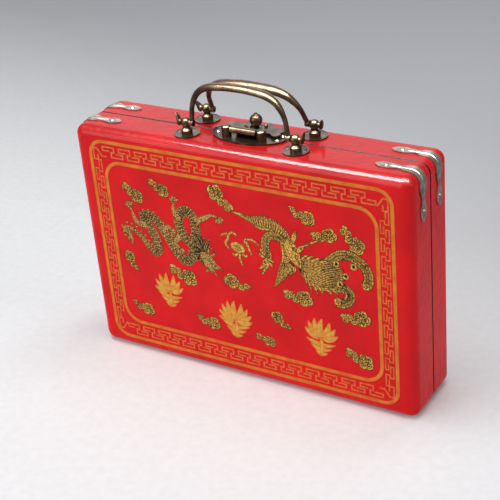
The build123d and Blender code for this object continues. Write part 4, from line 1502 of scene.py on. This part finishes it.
def ridge_line(hand, y, x_out, z_out):
    """From the top arm over the bend and down the side arm, in millimetres."""
    line = [(x_out - ridge_reach_top + ridge_step * k, z_out) for k in range(4)]
    for step in range(bend_steps + 1):
        angle = math.pi / 2 * (1 - step / bend_steps)
        line.append(
            (
                x_out - bend_radius + bend_radius * math.cos(angle),
                z_out - bend_radius + bend_radius * math.sin(angle),
            )
        )
    line += [(x_out, z_out - bend_radius - ridge_step * k - ridge_step) for k in range(5)]
    return [Vector((hand * x, y, z)) for x, z in line]


for side in SIDES:
    ridges = []
    for hand, word in ((-1, "left"), (1, "right")):
        low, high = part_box(f"corner_bracket_{side}_{word}")
        y = (low[1] + high[1]) / 2 / MM
        x_out = max(abs(low[0]), abs(high[0])) / MM
        line = ridge_line(hand, y, x_out, high[2] / MM)
        ridges.append(
            sweep(
                line,
                Vector((0, 1, 0)),
                lambda t: ridge_half_width * leaf_width(0.05 + 0.9 * t) + ridge_end,
                lambda t: ridge_half_height * leaf_width(0.05 + 0.9 * t) + ridge_end,
                12,
            )
        )
    ridge_mesh = joined_mesh(f"{side}_bracket_ridges", ridges)
    new_piece(f"{side}_bracket_ridges", ridge_mesh, f"{side}_case", dark_bronze)
    print("Made the", side, "ridges with", len(ridge_mesh.polygons), "faces")

# %% [markdown]
# ## Floor and light
# The case stands on a pale table that is clear from below, so that the underside can be seen. The
# table greys towards the back: that is painted shade, for the light falling off behind the case. A
# strip above the case is the window, a large soft light from the left fills the front, and a weak
# one lights the right side. Two more sheets show only as reflections: the strong one draws the
# white line along the top front edge and the glints in the brass, and the one behind pales the
# lacquer of the top.

# %% Floor
floor_mesh = bpy.data.meshes.new("floor")
floor_half = 3.0
floor_corners = [
    (x * floor_half, y * floor_half, 0) for x, y in ((-1, -1), (1, -1), (1, 1), (-1, 1))
]
floor_mesh.from_pydata(floor_corners, [], [(0, 1, 2, 3)])
floor = bpy.data.objects.new("floor", floor_mesh)
bpy.context.scene.collection.objects.link(floor)


speckle_mm, slant_share = 8, 0.35
# Where the painted shade on the table begins and where it is full, in millimetres towards the back.
painted_shade_start_mm, painted_shade_end_mm = -50.0, 600.0


def make_table_white():
    material, tree, place = start_material("pale_table")
    speckle = add(
        tree, "ShaderNodeTexNoise", {"Vector": place, "Scale": 1 / speckle_mm, "Detail": 4.0}
    )
    tone = add(
        tree,
        "ShaderNodeMix",
        {0: speckle.outputs[0], 6: linear("#d9dbdd"), 7: linear("#e8e9ea")},
        data_type="RGBA",
    )
    # From here the table is darkened towards the back, a little more on the right: painted shade
    # for the light falling off behind the case.
    part = add(tree, "ShaderNodeSeparateXYZ", {0: place})
    slant = add(
        tree, "ShaderNodeMath", {0: part.outputs["X"], 1: slant_share}, operation="MULTIPLY"
    )
    behind = add(
        tree, "ShaderNodeMath", {0: part.outputs["Y"], 1: slant.outputs[0]}, operation="ADD"
    )
    falloff = add(
        tree,
        "ShaderNodeMapRange",
        {"Value": behind.outputs[0], "From Min": painted_shade_start_mm, "From Max": painted_shade_end_mm},
        interpolation_type="SMOOTHSTEP",
    )
    shaded = add(
        tree,
        "ShaderNodeMix",
        {0: falloff.outputs[0], 6: tone.outputs[2], 7: linear("#b3b4b9")},
        data_type="RGBA",
    )
    shader = add(
        tree,
        "ShaderNodeBsdfPrincipled",
        {"Base Color": shaded.outputs[2], "Roughness": 0.8, "Specular IOR Level": 0.2},
    )
    clear = add(tree, "ShaderNodeBsdfTransparent")
    under = add(tree, "ShaderNodeNewGeometry").outputs["Backfacing"]
    one_way = add(
        tree, "ShaderNodeMixShader", {0: under, 1: shader.outputs[0], 2: clear.outputs[0]}
    )
    return end_material(material, one_way)


floor_mesh.materials.append(make_table_white())


# %% Lights
def soft_light(name, position, target, size, power):
    data = bpy.data.lights.new(name, "AREA")
    data.shape = "RECTANGLE"
    data.size, data.size_y = size
    data.energy = power
    light = bpy.data.objects.new(name, data)
    bpy.context.scene.collection.objects.link(light)
    light.location = position
    light.rotation_euler = (Vector(target) - Vector(position)).to_track_quat("-Z", "Y").to_euler()
    light.visible_camera = False
    print("Lit", name, "with", power, "W from", position)
    return light


soft_light("window_above", (-0.1, 0.1, 1.5), (0, 0, 0.1), (1.4, 0.35), 12)
soft_light("front_fill", (-0.9, -1.7, 0.8), (0, 0, 0.1), (1.2, 1.2), 21)
soft_light("right_fill", (1.7, 0.0, 0.7), (0, 0, 0.1), (0.8, 0.8), 5)
reflector = soft_light("reflector", (0.1, -0.3, 1.3), (0, 0, 0.1), (1.8, 0.6), 235)
reflector.visible_diffuse = False
back_sheet = soft_light("back_sheet", (-0.75, 1.16, 0.81), (0, 0, 0.2), (1.8, 1.0), 8)
back_sheet.visible_diffuse = False

plain_glow, seen_glow = 0.40, 0.55  # what lights the case, and what is seen in it and round it
world = bpy.data.worlds.new("studio")
bpy.context.scene.world = world
world.use_nodes = True
backdrop = world.node_tree
backdrop.nodes.clear()
rays = add(backdrop, "ShaderNodeLightPath")
mirrored = add(
    backdrop,
    "ShaderNodeMath",
    {0: rays.outputs["Is Transmission Ray"], 1: rays.outputs["Is Glossy Ray"]},
    operation="MAXIMUM",
)
seen = add(
    backdrop,
    "ShaderNodeMath",
    {0: rays.outputs["Is Camera Ray"], 1: mirrored.outputs[0]},
    operation="MAXIMUM",
)
strength = add(
    backdrop,
    "ShaderNodeMapRange",
    {"Value": seen.outputs[0], "To Min": plain_glow, "To Max": seen_glow},
)
glow = add(
    backdrop,
    "ShaderNodeBackground",
    {"Color": linear("#f2f3f5"), "Strength": strength.outputs[0]},
)
add(backdrop, "ShaderNodeOutputWorld", {"Surface": glow.outputs[0]})

# %% [markdown]
# ## Camera
# The camera stands where the photographer's did: to the right and above, with the case turned a
# third of the way to its side and the horizon tipped a few degrees.

# %% Camera
camera_turn, camera_rise, camera_roll = (math.radians(a) for a in (33.526, 28.059, -5.382))
camera_place = Vector((533.7, -822.6, 637.6)) * MM
back = Vector(
    (
        math.sin(camera_turn) * math.cos(camera_rise),
        -math.cos(camera_turn) * math.cos(camera_rise),
        math.sin(camera_rise),
    )
)
right = Vector((math.cos(camera_turn), math.sin(camera_turn), 0))
axes = Matrix((right, back.cross(right), back)).transposed().to_4x4()
camera_data = bpy.data.cameras.new("camera")
camera_data.sensor_width = 36.0
camera_data.lens = 89.94
camera_data.clip_start, camera_data.clip_end = 0.05, 20.0
camera = bpy.data.objects.new("camera", camera_data)
bpy.context.scene.collection.objects.link(camera)
camera.matrix_world = Matrix.Translation(camera_place) @ axes @ Matrix.Rotation(camera_roll, 4, "Z")
bpy.context.scene.camera = camera
print("Camera at", [round(c, 3) for c in camera_place], "with a lens of", camera_data.lens, "mm")
bpy.context.scene.view_settings.view_transform = "Standard"
